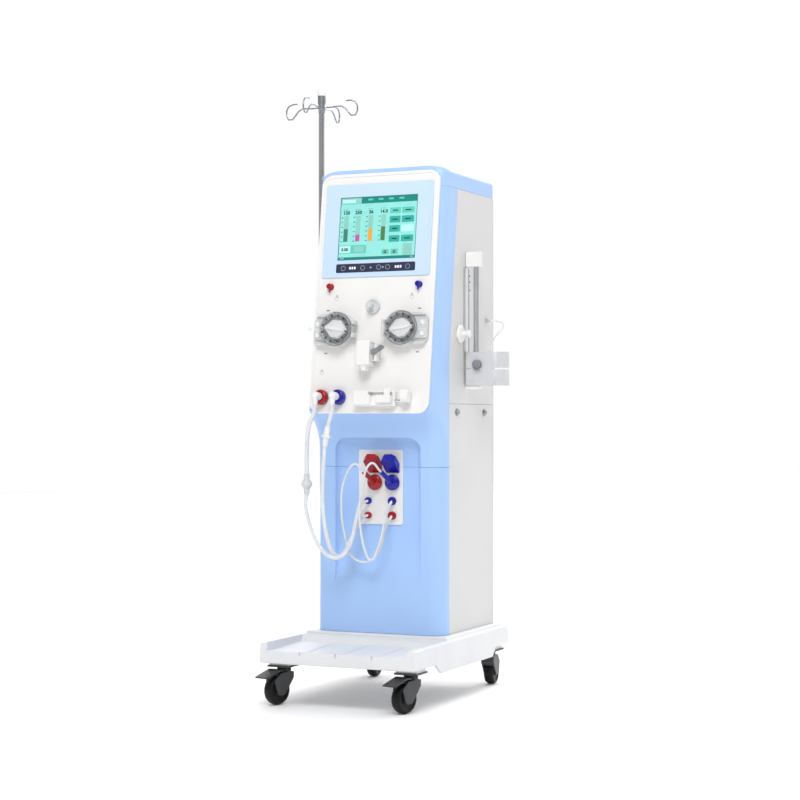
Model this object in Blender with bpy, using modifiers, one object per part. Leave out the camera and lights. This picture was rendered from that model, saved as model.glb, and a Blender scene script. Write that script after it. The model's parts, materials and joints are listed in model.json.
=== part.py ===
"""Dialysis machine: a leaning control head on a slim column, on a wheeled base with a front tray.

The machine faces -Y, and +X is on the right of someone who looks at its screen. Sizes are in
metres. Inside the script x = 0 is the middle of the column, y = 0 its front face and z = 0 the
floor. One empty moves all of it so that the origin is the middle of its outline on the floor.
"""

import bmesh
import bpy
from math import asin, atan2, cos, degrees, hypot, pi, radians, sin, sqrt, tan
from mathutils import Matrix, Vector
from mathutils.geometry import interpolate_bezier

MM = 0.001
GAP = 0.3 * MM
OVERRUN = 3 * MM

# Where the middle of the outline on the floor is, seen from the column's front middle
OUTLINE_CENTRE_X = -10.0 * MM
OUTLINE_CENTRE_Y = 64.6 * MM

# Column and head
BODY_WIDTH = 370 * MM
BODY_REAR_Y = 355 * MM
COLUMN_FOOT_Z = 168 * MM
COLUMN_CORNER = 42 * MM
HEAD_CORNER = 30 * MM
COVER_SEAM_Z = 602 * MM
PANEL_SEAM_Z = 767 * MM
CAP_SEAM_Z = 1333 * MM
BODY_TOP_Z = 1380 * MM
SIDE_PANEL_FRONT_Y = 45 * MM
SIDE_PANEL_BEND_Z = 885 * MM
SHEET = 4 * MM
REAR_SHEET = 6 * MM
FRAME_WALL = 3 * MM
HEAD_WALL = 9 * MM
LEAN = radians(7.4)

# Undercut between the head and the column
UNDERCUT_FOOT_Z = 655 * MM
UNDERCUT_TOP_Z = 748 * MM

# Leaning front panel; its own axes are X, across, and up along its face
PANEL_FOOT_Y = -60.5 * MM
PANEL_FOOT_Z = 742 * MM
PANEL_WIDTH = 342 * MM
PANEL_HEIGHT = 629 * MM
PANEL_CORNER = 28 * MM
PANEL_THICK = 6 * MM
PANEL_RIM = 8 * MM
PANEL_RIM_HEIGHT = 1.5 * MM

# Display
BEZEL_WIDTH = 311 * MM
BEZEL_FOOT = 360 * MM
BEZEL_HEIGHT = 252 * MM
BEZEL_CORNER = 7 * MM
BEZEL_THICK = 3.2 * MM
SCREEN_WIDTH = 224 * MM
SCREEN_FOOT = 406 * MM
SCREEN_HEIGHT = 169 * MM
SCREEN_THICK = 2.2 * MM
KEYS_WIDTH = 228 * MM
KEYS_FOOT = 372.5 * MM
KEYS_HEIGHT = 23.5 * MM
KEYS_RAISE = 0.6 * MM

# Blood pumps
PUMP_SPACING = 186 * MM
PUMP_MIDDLE = 219 * MM
PUMP_RADIUS = 46 * MM
PUMP_REACH = 68 * MM
PUMP_SHOULDER = 41 * MM
PUMP_THICK = 24 * MM
RACEWAY_RADIUS = 39 * MM
RACEWAY_DEPTH = 17 * MM
HINGE_OFFSET = 50 * MM
HINGE_STANDOFF = 29 * MM
HINGE_RADIUS = 4.2 * MM
DOOR_THICK = 13 * MM
DOOR_WALL = 2.5 * MM

# Small fittings on the front panel
PORT_SPACING = 255 * MM
PORT_MIDDLE = 336 * MM
CHAMBER_PORT_MIDDLE = 281 * MM
DETECTOR_FOOT = 121 * MM
SYRINGE_FOOT = 20 * MM
SYRINGE_LEFT_X = -34 * MM
SYRINGE_LENGTH = 116 * MM
SYRINGE_HEIGHT = 48 * MM
SYRINGE_SHAFT_RADIUS = 4 * MM
COUPLING_MIDDLE = 42 * MM
COUPLING_X = (-135 * MM, -85 * MM)
COUPLING_RADIUS = 20 * MM
COUPLING_THICK = 16 * MM
PLUG_RADIUS = 9 * MM
ELBOW_REACH = 38 * MM
ELBOW_DROP = 25 * MM

# Niche in the column's front, and the connector plate in it
NICHE_WIDTH = 246 * MM
NICHE_TOP_Z = 679 * MM
NICHE_FOOT_Z = 298 * MM
NICHE_FLOOR_FOOT_Z = 436 * MM
NICHE_DEPTH = 22.5 * MM
NICHE_DRAFT = 15 * MM
NICHE_CORNER = 34 * MM
PLATE_WIDTH = 128 * MM
PLATE_FOOT_Z = 451 * MM
PLATE_HEIGHT = 196 * MM
PLATE_THICK = 3 * MM
PLATE_FACE_Y = NICHE_DEPTH - GAP - PLATE_THICK
COLLAR_THICK = 8 * MM
WAND_X = (-14.5 * MM, 36 * MM)
WAND_Z = 561.5 * MM
WAND_RADIUS = 21 * MM
WAND_THICK = 13 * MM
WAND_ARM_RADIUS = 6 * MM
LID_HINGE_Z = 633 * MM
LID_WIDTH = 43 * MM
LID_HEIGHT = 43 * MM
LID_DEPTH = 16 * MM
LID_OPEN = radians(38)
NOZZLE_X = (-34.5 * MM, 34.5 * MM)
NOZZLE_Z = (513 * MM, 475 * MM)
NOZZLE_REACH = 17 * MM

# Hoses
HOSE_RADIUS = 5.5 * MM
THIN_HOSE_RADIUS = 3 * MM
LEAD_RADIUS = 2.5 * MM
JOINT_LENGTH = 52 * MM

# Wheeled base
BASE_WIDTH = 430 * MM
BASE_FRONT_Y = -250 * MM
BASE_REAR_Y = 394 * MM
BASE_TOP_Z = 160 * MM
BASE_LIP_Z = 109 * MM
SKIRT_FOOT_Z = 85 * MM
SKIRT_FRONT_Y = -76 * MM
SKIRT_REAR_Y = 276 * MM
BASE_WALL = 6 * MM
TRAY_RIM = 14 * MM
TRAY_REAR_Y = -45 * MM
TRAY_FLOOR_Z = 135 * MM
TRAY_RISE = 7.5 * MM

# Casters
CASTER_X = 178 * MM
CASTER_FRONT_Y = -183 * MM
CASTER_REAR_Y = 337 * MM
CASTER_TURN_FRONT = radians(-15)
CASTER_TURN_REAR = radians(187)
WHEEL_RADIUS = 37.5 * MM
WHEEL_WIDTH = 26 * MM
CASTER_TRAIL = 27 * MM
AXLE_RADIUS = 4 * MM
FORK_WIDTH = 36 * MM
FORK_TOP_Z = 94 * MM
CASTER_PLATE_Z = 95.5 * MM

# Infusion pole on the left side
POLE_X = -205.5 * MM
POLE_Y = 81.5 * MM
POLE_RADIUS = 8.5 * MM
POLE_FOOT_Z = 800 * MM
POLE_TOP_Z = 1555 * MM
SLEEVE_RADIUS = 11 * MM
SLEEVE_FOOT_Z = 690 * MM
SLEEVE_TOP_Z = 1090 * MM
HOOK_WIRE = 2.3 * MM
HOOK_REACH = 108 * MM
HOOK_HUB_RADIUS = 11 * MM

# Holder rail on the right side
RAIL_X = 213.5 * MM
RAIL_Y = 162 * MM
RAIL_RADIUS = 8 * MM
RAIL_TOP_Z = 1130 * MM
RAIL_FOOT_Z = 815.5 * MM
HOLDER_HEIGHT = 89 * MM
HOLDER_RING_X = 262 * MM
HOLDER_RING_Y = 182 * MM
HOLDER_RING_RADIUS = 34 * MM
HOLDER_WALL = 5 * MM
KNOB_RADIUS = 12.5 * MM
LATCH_Y = 113 * MM
LATCH_Z = 951 * MM
SOCKET_Y = (303 * MM, 272 * MM)
SOCKET_Z = (995 * MM, 868 * MM)
SOCKET_RADIUS = 6 * MM
SOCKET_REACH = 6 * MM

# Colours, roughness and metallic value
FINISHES = {
    "pale_blue": ((0.45, 0.65, 0.98), 0.35, 0.0),
    "white": ((0.86, 0.86, 0.86), 0.40, 0.0),
    "panel_white": ((0.88, 0.87, 0.86), 0.40, 0.0),
    "bezel_blue": ((0.57, 0.74, 0.92), 0.35, 0.0),
    "screen": ((0.43, 0.96, 0.84), 0.20, 0.0),
    "grey": ((0.33, 0.34, 0.35), 0.45, 0.0),
    "dark_grey": ((0.10, 0.10, 0.11), 0.50, 0.0),
    "black": ((0.02, 0.02, 0.02), 0.60, 0.0),
    "red": ((0.45, 0.01, 0.01), 0.35, 0.0),
    "blue": ((0.01, 0.01, 0.32), 0.35, 0.0),
    "chrome": ((0.75, 0.75, 0.76), 0.15, 1.0),
    "steel": ((0.40, 0.40, 0.41), 0.40, 1.0),
    "hose": ((0.85, 0.86, 0.88), 0.30, 0.0),
    "clear": ((0.80, 0.82, 0.84), 0.10, 0.0),
}


def clear_scene():
    for obj in list(bpy.data.objects):
        bpy.data.objects.remove(obj)


def make_collection(name, hidden=False):
    group = bpy.data.collections.new(name)
    bpy.context.scene.collection.children.link(group)
    group.hide_render = hidden
    return group


def material(name):
    found = bpy.data.materials.get(name)
    if found:
        return found
    colour, roughness, metallic = FINISHES[name]
    made = bpy.data.materials.new(name)
    made.use_nodes = True
    shader = made.node_tree.nodes["Principled BSDF"]
    shader.inputs["Base Color"].default_value = (*colour, 1)
    shader.inputs["Roughness"].default_value = roughness
    shader.inputs["Metallic"].default_value = metallic
    made.diffuse_color = (*colour, 1)
    return made


clear_scene()
PARTS = make_collection("dialysis_machine")
CUTTERS = make_collection("cutters", hidden=True)


def empty(name, parent=None, location=(0, 0, 0), rotation=(0, 0, 0)):
    obj = bpy.data.objects.new(name, None)
    PARTS.objects.link(obj)
    obj.parent = parent
    obj.location = location
    obj.rotation_euler = rotation
    return obj


MACHINE = empty("machine", location=(-OUTLINE_CENTRE_X, -OUTLINE_CENTRE_Y, 0))
PANEL = empty("front_panel_plane", MACHINE, (0, PANEL_FOOT_Y, PANEL_FOOT_Z), (-LEAN, 0, 0))


def part(name, mesh, finish, parent=None, location=(0, 0, 0), rotation=(0, 0, 0)):
    """A finished piece, shaded smooth across its shallow edges."""
    obj = bpy.data.objects.new(name, mesh)
    PARTS.objects.link(obj)
    obj.parent = parent or MACHINE
    obj.location = location
    obj.rotation_euler = rotation
    mesh.materials.clear()
    mesh.materials.append(material(finish))
    mesh.shade_smooth()
    mesh.set_sharp_from_angle(angle=radians(35))
    return obj


def tool(name, mesh, parent=None, location=(0, 0, 0), rotation=(0, 0, 0)):
    """A shape that only cuts or joins."""
    obj = bpy.data.objects.new(name, mesh)
    CUTTERS.objects.link(obj)
    obj.parent = parent or MACHINE
    obj.location = location
    obj.rotation_euler = rotation
    obj.hide_render = True
    obj.display_type = "WIRE"
    return obj


def combine(obj, other, operation):
    step = obj.modifiers.new(f"{operation.lower()} {other.name}", "BOOLEAN")
    step.operation = operation
    step.solver = "EXACT"
    step.object = other
    return obj


def cut(obj, other):
    return combine(obj, other, "DIFFERENCE")


def join(obj, other):
    return combine(obj, other, "UNION")


def keep_common(obj, other):
    return combine(obj, other, "INTERSECT")


def soften(obj, width, segments=2, angle=radians(40)):
    """Rounds the sharp edges that the object has at this point of its stack."""
    step = obj.modifiers.new("edges", "BEVEL")
    step.width = width
    step.segments = segments
    step.limit_method = "ANGLE"
    step.angle_limit = angle
    step.use_clamp_overlap = True
    return obj


def mesh_from(bm, name):
    mesh = bpy.data.meshes.new(name)
    bm.to_mesh(mesh)
    bm.free()
    return mesh


def box(size_x, size_y, size_z, centre=(0, 0, 0)):
    bm = bmesh.new()
    scale = Matrix.Diagonal((size_x, size_y, size_z, 1))
    bmesh.ops.create_cube(bm, size=1, matrix=Matrix.Translation(centre) @ scale)
    return mesh_from(bm, "box")


def box_between(low, high):
    size = [b - a for a, b in zip(low, high)]
    centre = [(a + b) / 2 for a, b in zip(low, high)]
    return box(*size, centre)


def facing(direction):
    return Vector((0, 0, 1)).rotation_difference(Vector(direction)).to_matrix().to_4x4()


def rod(radius, start, end, segments=20, end_radius=None):
    """A cylinder, or a cone with an end radius, from one point to another."""
    start, end = Vector(start), Vector(end)
    bm = bmesh.new()
    place = Matrix.Translation((start + end) / 2) @ facing(end - start)
    last = radius if end_radius is None else end_radius
    bmesh.ops.create_cone(bm, cap_ends=True, segments=segments, radius1=radius, radius2=last,
                          depth=(end - start).length, matrix=place)
    return mesh_from(bm, "rod")


PLANES = {
    "XY": Matrix.Identity(4),
    "XZ": Matrix(((1, 0, 0, 0), (0, 0, -1, 0), (0, 1, 0, 0), (0, 0, 0, 1))),
    "YZ": Matrix(((0, 0, 1, 0), (1, 0, 0, 0), (0, 1, 0, 0), (0, 0, 0, 1))),
}


def curve_to_mesh(curve, name):
    """The mesh of a curve, with its loose caps welded on."""
    carrier = bpy.data.objects.new(name, curve)
    mesh = bpy.data.meshes.new_from_object(carrier)
    bpy.data.objects.remove(carrier)
    bm = bmesh.new()
    bm.from_mesh(mesh)
    bmesh.ops.remove_doubles(bm, verts=bm.verts, dist=GAP / 10)
    bmesh.ops.dissolve_limit(bm, angle_limit=radians(0.2), verts=bm.verts, edges=bm.edges)
    bm.to_mesh(mesh)
    bm.free()
    return mesh


def slab(outline, low, high, plane="XY"):
    """A flat outline made solid from low to high along the plane's normal."""
    curve = bpy.data.curves.new("outline", "CURVE")
    curve.dimensions = "2D"
    curve.fill_mode = "BOTH"
    curve.extrude = (high - low) / 2
    spline = curve.splines.new("POLY")
    spline.points.add(len(outline) - 1)
    for point, (u, v) in zip(spline.points, outline):
        point.co = (u, v, 0, 1)
    spline.use_cyclic_u = True
    mesh = curve_to_mesh(curve, "outline")
    mesh.transform(PLANES[plane] @ Matrix.Translation((0, 0, (low + high) / 2)))
    return mesh


def front_slab(outline, back, front):
    """A slab in the XZ plane between two distances in front of y = 0."""
    return slab(outline, back, front, "XZ")


def round_corners(corners, radius, segments=5):
    """Replaces each corner of a polygon by an arc; a radius may be given for each corner."""
    radii = radius if isinstance(radius, (list, tuple)) else [radius] * len(corners)
    points = []
    for index, (corner, size) in enumerate(zip(corners, radii)):
        here = Vector(corner)
        before = Vector(corners[index - 1]) - here
        after = Vector(corners[(index + 1) % len(corners)]) - here
        if size <= 0:
            points.append(tuple(here))
            continue
        half = before.angle(after) / 2
        reach = size / tan(half)
        middle = here + (before.normalized() + after.normalized()).normalized() * size / sin(half)
        start = here + before.normalized() * reach - middle
        turn = start.angle_signed(here + after.normalized() * reach - middle)
        for step in range(segments + 1):
            angle = -turn * step / segments
            spun = Vector((start.x * cos(angle) - start.y * sin(angle),
                           start.x * sin(angle) + start.y * cos(angle)))
            points.append(tuple(middle + spun))
    return points


def rounded_box(width, height, radius, centre_u=0.0, foot=0.0, segments=5):
    half = width / 2
    corners = [(centre_u - half, foot), (centre_u + half, foot),
               (centre_u + half, foot + height), (centre_u - half, foot + height)]
    return round_corners(corners, radius, segments)


def arc(centre, radius, start, end, segments):
    return [(centre[0] + radius * cos(start + (end - start) * step / segments),
             centre[1] + radius * sin(start + (end - start) * step / segments))
            for step in range(segments + 1)]


def loft(rings, name="loft"):
    """A closed skin through rings of equal count, capped at both ends."""
    bm = bmesh.new()
    layers = [[bm.verts.new(point) for point in ring] for ring in rings]
    count = len(rings[0])
    for lower, upper in zip(layers, layers[1:]):
        for index in range(count):
            after = (index + 1) % count
            bm.faces.new((lower[index], lower[after], upper[after], upper[index]))
    bm.faces.new(list(reversed(layers[0])))
    bm.faces.new(layers[-1])
    bmesh.ops.recalc_face_normals(bm, faces=bm.faces)
    return mesh_from(bm, name)


FACE_OUT = (radians(90), 0, 0)
FACE_RIGHT = (0, radians(90), 0)


def turned(name, profile, finish, steps, parent=None, location=(0, 0, 0), rotation=(0, 0, 0),
           closed=False):
    """A piece turned about its own Z from a profile of radius and height."""
    bm = bmesh.new()
    verts = [bm.verts.new((radius, 0, height)) for radius, height in profile]
    for first, second in zip(verts, verts[1:]):
        bm.edges.new((first, second))
    if closed:
        bm.edges.new((verts[-1], verts[0]))
    obj = part(name, mesh_from(bm, "profile"), finish, parent, location, rotation)
    step = obj.modifiers.new("turn", "SCREW")
    step.axis = "Z"
    step.steps = steps
    step.render_steps = steps
    step.use_merge_vertices = True
    step.merge_threshold = GAP / 30
    step.use_smooth_shade = True
    return obj


def smooth_route(points, spacing, before=None, after=None):
    """Evenly spaced points on a smooth curve through a route's own points."""
    places = [Vector(point) for point in points]
    before = 2 * places[0] - places[1] if before is None else Vector(before)
    after = 2 * places[-1] - places[-2] if after is None else Vector(after)
    padded = [before, *places, after]
    dense = []
    for previous, start, end, following in zip(padded, padded[1:], padded[2:], padded[3:]):
        pull = (end - start).length / 3
        first = start + (end - previous).normalized() * pull
        second = end - (following - start).normalized() * pull
        dense += interpolate_bezier(start, first, second, end, 16)[:-1]
    dense.append(places[-1])
    total = sum((b - a).length for a, b in zip(dense, dense[1:]))
    count = max(2, round(total / spacing))
    result, travelled, index = [dense[0]], 0.0, 0
    for goal in (total * step / count for step in range(1, count)):
        while travelled + (dense[index + 1] - dense[index]).length < goal:
            travelled += (dense[index + 1] - dense[index]).length
            index += 1
        step = dense[index + 1] - dense[index]
        result.append(dense[index] + step * ((goal - travelled) / step.length))
    return [*result, dense[-1]]


def joined_route(spans, spacing):
    """Smooth spans of a route with a straight run from each span to the next."""
    result = []
    for index, span in enumerate(spans):
        if len(span) == 1:
            result.append(Vector(span[0]))
            continue
        before = spans[index - 1][-1] if index else None
        after = spans[index + 1][0] if index + 1 < len(spans) else None
        result += smooth_route(span, spacing, before, after)
    return result


def wire_curve(points, radius, resolution=2):
    curve = bpy.data.curves.new("wire", "CURVE")
    curve.dimensions = "3D"
    curve.bevel_depth = radius
    curve.bevel_resolution = resolution
    curve.use_fill_caps = True
    spline = curve.splines.new("POLY")
    spline.points.add(len(points) - 1)
    for point, place in zip(spline.points, points):
        point.co = (*place, 1)
    return curve


def wire(points, radius, resolution=2):
    """A round bar along points, as a closed mesh."""
    return curve_to_mesh(wire_curve(points, radius, resolution), "wire")


def hose(name, spans, radius):
    """A hose as a tube through its route's spans."""
    return part(name, wire(joined_route(spans, radius * 6), radius), "hose")


def panel_y(height):
    """The front panel's face at a height, straight above or below its foot."""
    return PANEL_FOOT_Y + (height - PANEL_FOOT_Z) * tan(LEAN)


def side_front_y(height):
    """The line where the blue covers end and the side panels begin."""
    return SIDE_PANEL_FRONT_Y + max(0, height - SIDE_PANEL_BEND_Z) * tan(LEAN)


def cover_ring(height, front, rear, corner, inset_side=0.0, segments=6):
    """A plan outline with round front corners, at one height."""
    half = BODY_WIDTH / 2 - inset_side
    corners = [(-half, rear), (-half, front), (half, front), (half, rear)]
    outline = round_corners(corners, [0, corner, corner, 0], segments)
    return [(x, y, height) for x, y in outline]


def head_front_y(height):
    return panel_y(height) + (PANEL_THICK + GAP) / cos(LEAN)


def cover_profile():
    """Height, front face and corner radius of the upper cover, from its seam to the cap."""
    brow_y = head_front_y(UNDERCUT_TOP_Z)
    start = Vector((0, UNDERCUT_FOOT_Z))
    pull = Vector((0, (UNDERCUT_FOOT_Z + UNDERCUT_TOP_Z) / 2))
    end = Vector((brow_y, UNDERCUT_TOP_Z))
    rows = [(COVER_SEAM_Z + GAP, 0, COLUMN_CORNER)]
    steps = 7
    for index in range(steps + 1):
        share = index / steps
        low = start.lerp(pull, share)
        high = pull.lerp(end, share)
        y, z = low.lerp(high, share)
        rows.append((z, y, COLUMN_CORNER + (HEAD_CORNER - COLUMN_CORNER) * share))
    rows.append((SIDE_PANEL_BEND_Z, head_front_y(SIDE_PANEL_BEND_Z), HEAD_CORNER))
    top = CAP_SEAM_Z - GAP
    rows.append((top, head_front_y(top), HEAD_CORNER))
    return rows


def niche_cutter(name):
    """An arched pocket with drafted walls whose floor runs out to the face at its foot."""
    half = NICHE_WIDTH / 2
    front = -OVERRUN
    flare = NICHE_DRAFT / NICHE_DEPTH

    def arch(depth):
        inset = flare * depth
        corners = [(-half + inset, NICHE_FOOT_Z - OVERRUN), (half - inset, NICHE_FOOT_Z - OVERRUN),
                   (half - inset, NICHE_TOP_Z - inset * 2), (-half + inset, NICHE_TOP_Z - inset * 2)]
        outline = round_corners(corners, [0, 0, NICHE_CORNER, NICHE_CORNER], 6)
        return [(x, depth, z) for x, z in outline]

    pocket = tool(name, loft([arch(front), arch(NICHE_DEPTH)]))
    side = [(2 * front, NICHE_FOOT_Z), (0, NICHE_FOOT_Z), (NICHE_DEPTH, NICHE_FLOOR_FOOT_Z),
            (NICHE_DEPTH + OVERRUN, NICHE_FLOOR_FOOT_Z + OVERRUN),
            (NICHE_DEPTH + OVERRUN, BODY_TOP_Z), (2 * front, BODY_TOP_Z)]
    wedge = tool(f"{name}_run_out", slab(side, -half - OVERRUN, half + OVERRUN, "YZ"))
    return keep_common(pocket, wedge)


def make_covers():
    """Blue front covers and the cap, with the niche and the undercut under the head."""
    niche = niche_cutter("niche")
    low, high = COLUMN_FOOT_Z + GAP, COVER_SEAM_Z - GAP
    rear = SIDE_PANEL_FRONT_Y - GAP
    rings = [cover_ring(z, 0, rear, COLUMN_CORNER) for z in (low, high)]
    cut(part("lower_front_cover", loft(rings), "pale_blue"), niche)

    rings = [cover_ring(z, y, side_front_y(z) - GAP, corner) for z, y, corner in cover_profile()]
    upper = cut(part("upper_front_cover", loft(rings), "pale_blue"), niche)
    cut(upper, tool("head_hollow", head_hollow()))

    crown = 22 * MM
    side_sweep = 36 * MM
    front_sweep = 8 * MM
    rear_sweep = 48 * MM
    shoulder = BODY_TOP_Z - crown
    rings = [cap_ring(CAP_SEAM_Z, 0, 0, 0)]
    steps = 5
    for index in range(steps + 1):
        angle = pi / 2 * index / steps
        inward = 1 - cos(angle)
        rings.append(cap_ring(shoulder + crown * sin(angle), side_sweep * inward,
                              front_sweep * inward, rear_sweep * inward))
    cap = part("top_cap", loft(rings), "pale_blue")
    inner = BODY_WIDTH / 2 - side_sweep
    hollow = box_between((-inner, head_front_y(BODY_TOP_Z) + HEAD_CORNER, CAP_SEAM_Z - OVERRUN),
                         (inner, BODY_REAR_Y - rear_sweep, BODY_TOP_Z - HEAD_WALL))
    cut(cap, tool("cap_hollow", hollow))


def head_hollow():
    """Room behind the head's front wall, open towards the cabinet."""
    low, high = UNDERCUT_TOP_Z + HEAD_WALL, CAP_SEAM_Z - HEAD_WALL
    half = BODY_WIDTH / 2 - HEAD_CORNER / 2
    side = [(head_front_y(low) + HEAD_WALL, low), (BODY_REAR_Y, low), (BODY_REAR_Y, high),
            (head_front_y(high) + HEAD_WALL, high)]
    return slab(side, -half, half, "YZ")


def cap_ring(height, side_inset, front_inset, rear_inset):
    half = BODY_WIDTH / 2 - side_inset
    front = head_front_y(height) + front_inset
    rear = BODY_REAR_Y - rear_inset
    rear_corner = 8 * MM
    corners = [(-half, rear), (-half, front), (half, front), (half, rear)]
    radii = [rear_corner, HEAD_CORNER, HEAD_CORNER, rear_corner]
    return [(x, y, height) for x, y in round_corners(corners, radii, 5)]


def side_outline(low, high, rear):
    points = [(rear, low), (side_front_y(low), low)]
    if low < SIDE_PANEL_BEND_Z < high:
        points.append((SIDE_PANEL_FRONT_Y, SIDE_PANEL_BEND_Z))
    points += [(side_front_y(high), high), (rear, high)]
    return list(reversed(points))


def make_cabinet():
    """A folded frame, open at its front and back, with sheet panels on both sides and the back."""
    inner = BODY_WIDTH / 2 - SHEET - GAP
    panel_rear = BODY_REAR_Y - REAR_SHEET - GAP
    core_foot = COLUMN_FOOT_Z
    core_top = CAP_SEAM_Z - GAP
    frame = slab(side_outline(core_foot, core_top, panel_rear), -inner, inner, "YZ")
    room = box_between((-inner + FRAME_WALL, 0, core_foot + FRAME_WALL),
                       (inner - FRAME_WALL, BODY_REAR_Y, core_top - FRAME_WALL))
    cut(part("cabinet_frame", frame, "steel"), tool("cabinet_room", room))
    spans = {"lower": (COLUMN_FOOT_Z, PANEL_SEAM_Z - GAP), "upper": (PANEL_SEAM_Z + GAP, core_top)}
    edge = 1.2 * MM
    for side, sign in (("left", -1), ("right", 1)):
        near, far = sorted((sign * (inner + GAP), sign * BODY_WIDTH / 2))
        for level, (low, high) in spans.items():
            mesh = slab(side_outline(low, high, panel_rear), near, far, "YZ")
            panel = soften(part(f"side_panel_{side}_{level}", mesh, "white"), edge, 2)
            if side == "right" and level == "upper":
                add_sockets(panel)
    make_rear_panel(edge)


def add_sockets(panel):
    """Two round sockets for the sensor lead."""
    face = BODY_WIDTH / 2
    for index, (y, z) in enumerate(zip(SOCKET_Y, SOCKET_Z)):
        mesh = rod(SOCKET_RADIUS, (face - SHEET / 2, y, z), (face + SOCKET_REACH, y, z), 16)
        join(panel, tool(f"socket_{index}", mesh))


def make_rear_panel(edge):
    """Back sheet with a slotted vent, two water spigots, a drain spigot and the mains inlet."""
    half = BODY_WIDTH / 2
    inner_face = BODY_REAR_Y - REAR_SHEET
    low, high = (-half, inner_face, COLUMN_FOOT_Z), (half, BODY_REAR_Y, CAP_SEAM_Z - GAP)
    panel = soften(part("rear_panel", box_between(low, high), "white"), edge, 2)
    vent_z = 1150 * MM
    vent_width = 90 * MM
    slot_height = 6 * MM
    slot_pitch = 16 * MM
    slots = 6
    for side in (-1, 1):
        for index in range(slots):
            z = vent_z + slot_pitch * (index - (slots - 1) / 2)
            slot = rounded_box(vent_width, slot_height, slot_height / 2 - GAP,
                               side * vent_width * 0.65, z - slot_height / 2, 1)
            mesh = slab(slot, -BODY_REAR_Y - OVERRUN, -inner_face + OVERRUN, "XZ")
            cut(panel, tool(f"vent_{side}_{index}", mesh))
    spigot_z = 262 * MM
    spigot_radius = 8 * MM
    spigot_reach = 24 * MM
    flange_radius = 14 * MM
    flange_thick = 5 * MM
    for index, x in enumerate((-110 * MM, -60 * MM, -10 * MM)):
        flange = rod(flange_radius, (x, inner_face + REAR_SHEET / 2, spigot_z),
                     (x, BODY_REAR_Y + flange_thick, spigot_z), 16)
        spigot = rod(spigot_radius, (x, BODY_REAR_Y, spigot_z),
                     (x, BODY_REAR_Y + spigot_reach, spigot_z), 16)
        join(panel, tool(f"flange_{index}", flange))
        join(panel, tool(f"spigot_{index}", spigot))
    inlet_x = 95 * MM
    inlet_width, inlet_height = 30 * MM, 24 * MM
    frame = 6 * MM
    bezel = box_between((inlet_x - inlet_width / 2 - frame, inner_face + REAR_SHEET / 2,
                         spigot_z - inlet_height / 2 - frame),
                        (inlet_x + inlet_width / 2 + frame, BODY_REAR_Y + frame,
                         spigot_z + inlet_height / 2 + frame))
    join(panel, tool("inlet_frame", bezel))
    mouth = box_between((inlet_x - inlet_width / 2, inner_face + REAR_SHEET / 3,
                         spigot_z - inlet_height / 2),
                        (inlet_x + inlet_width / 2, BODY_REAR_Y + frame + OVERRUN,
                         spigot_z + inlet_height / 2))
    cut(panel, tool("inlet_mouth", mouth))


def make_front_panel():
    """White panel with a raised rim, and the display on its upper half."""
    rim_front = PANEL_RIM_HEIGHT
    outline = rounded_box(PANEL_WIDTH, PANEL_HEIGHT, PANEL_CORNER, segments=6)
    panel = part("front_panel", front_slab(outline, -PANEL_THICK, rim_front), "panel_white", PANEL)
    soften(panel, PANEL_RIM_HEIGHT / 2, 2)
    field = rounded_box(PANEL_WIDTH - 2 * PANEL_RIM, PANEL_HEIGHT - 2 * PANEL_RIM,
                        PANEL_CORNER - PANEL_RIM, foot=PANEL_RIM, segments=6)
    cut(panel, tool("panel_field", front_slab(field, 0, rim_front + OVERRUN), PANEL))

    front = GAP + BEZEL_THICK
    outline = rounded_box(BEZEL_WIDTH, BEZEL_HEIGHT, BEZEL_CORNER, foot=BEZEL_FOOT, segments=4)
    bezel = part("display_bezel", front_slab(outline, GAP, front), "bezel_blue", PANEL)
    soften(bezel, BEZEL_THICK / 4, 2)
    window = rounded_box(SCREEN_WIDTH + 2 * GAP, SCREEN_HEIGHT + 2 * GAP, GAP,
                         foot=SCREEN_FOOT - GAP, segments=1)
    cut(bezel, tool("screen_window", front_slab(window, -OVERRUN, front + OVERRUN), PANEL))
    strip = rounded_box(KEYS_WIDTH, KEYS_HEIGHT, KEYS_HEIGHT / 6, foot=KEYS_FOOT, segments=3)
    join(bezel, tool("key_strip", front_slab(strip, BEZEL_THICK / 2, front + KEYS_RAISE), PANEL))

    screen = rounded_box(SCREEN_WIDTH, SCREEN_HEIGHT, GAP, foot=SCREEN_FOOT, segments=1)
    part("display_screen", front_slab(screen, GAP, GAP + SCREEN_THICK), "screen", PANEL)


def pump_outline(sign, inset=0.0):
    """Round towards the middle of the machine, squared with soft corners on the outer side."""
    radius = PUMP_RADIUS - inset
    shoulder = PUMP_SHOULDER - inset
    reach = PUMP_REACH - inset
    corner = shoulder * 0.45
    start = asin(shoulder / radius)
    points = arc((0, 0), radius, start, 2 * pi - start, 16)
    points += arc((reach - corner, -shoulder + corner), corner, -pi / 2, 0, 4)
    points += arc((reach - corner, shoulder - corner), corner, 0, pi / 2, 4)
    points = [(sign * x, z) for x, z in points]
    return points if sign > 0 else list(reversed(points))


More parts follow.
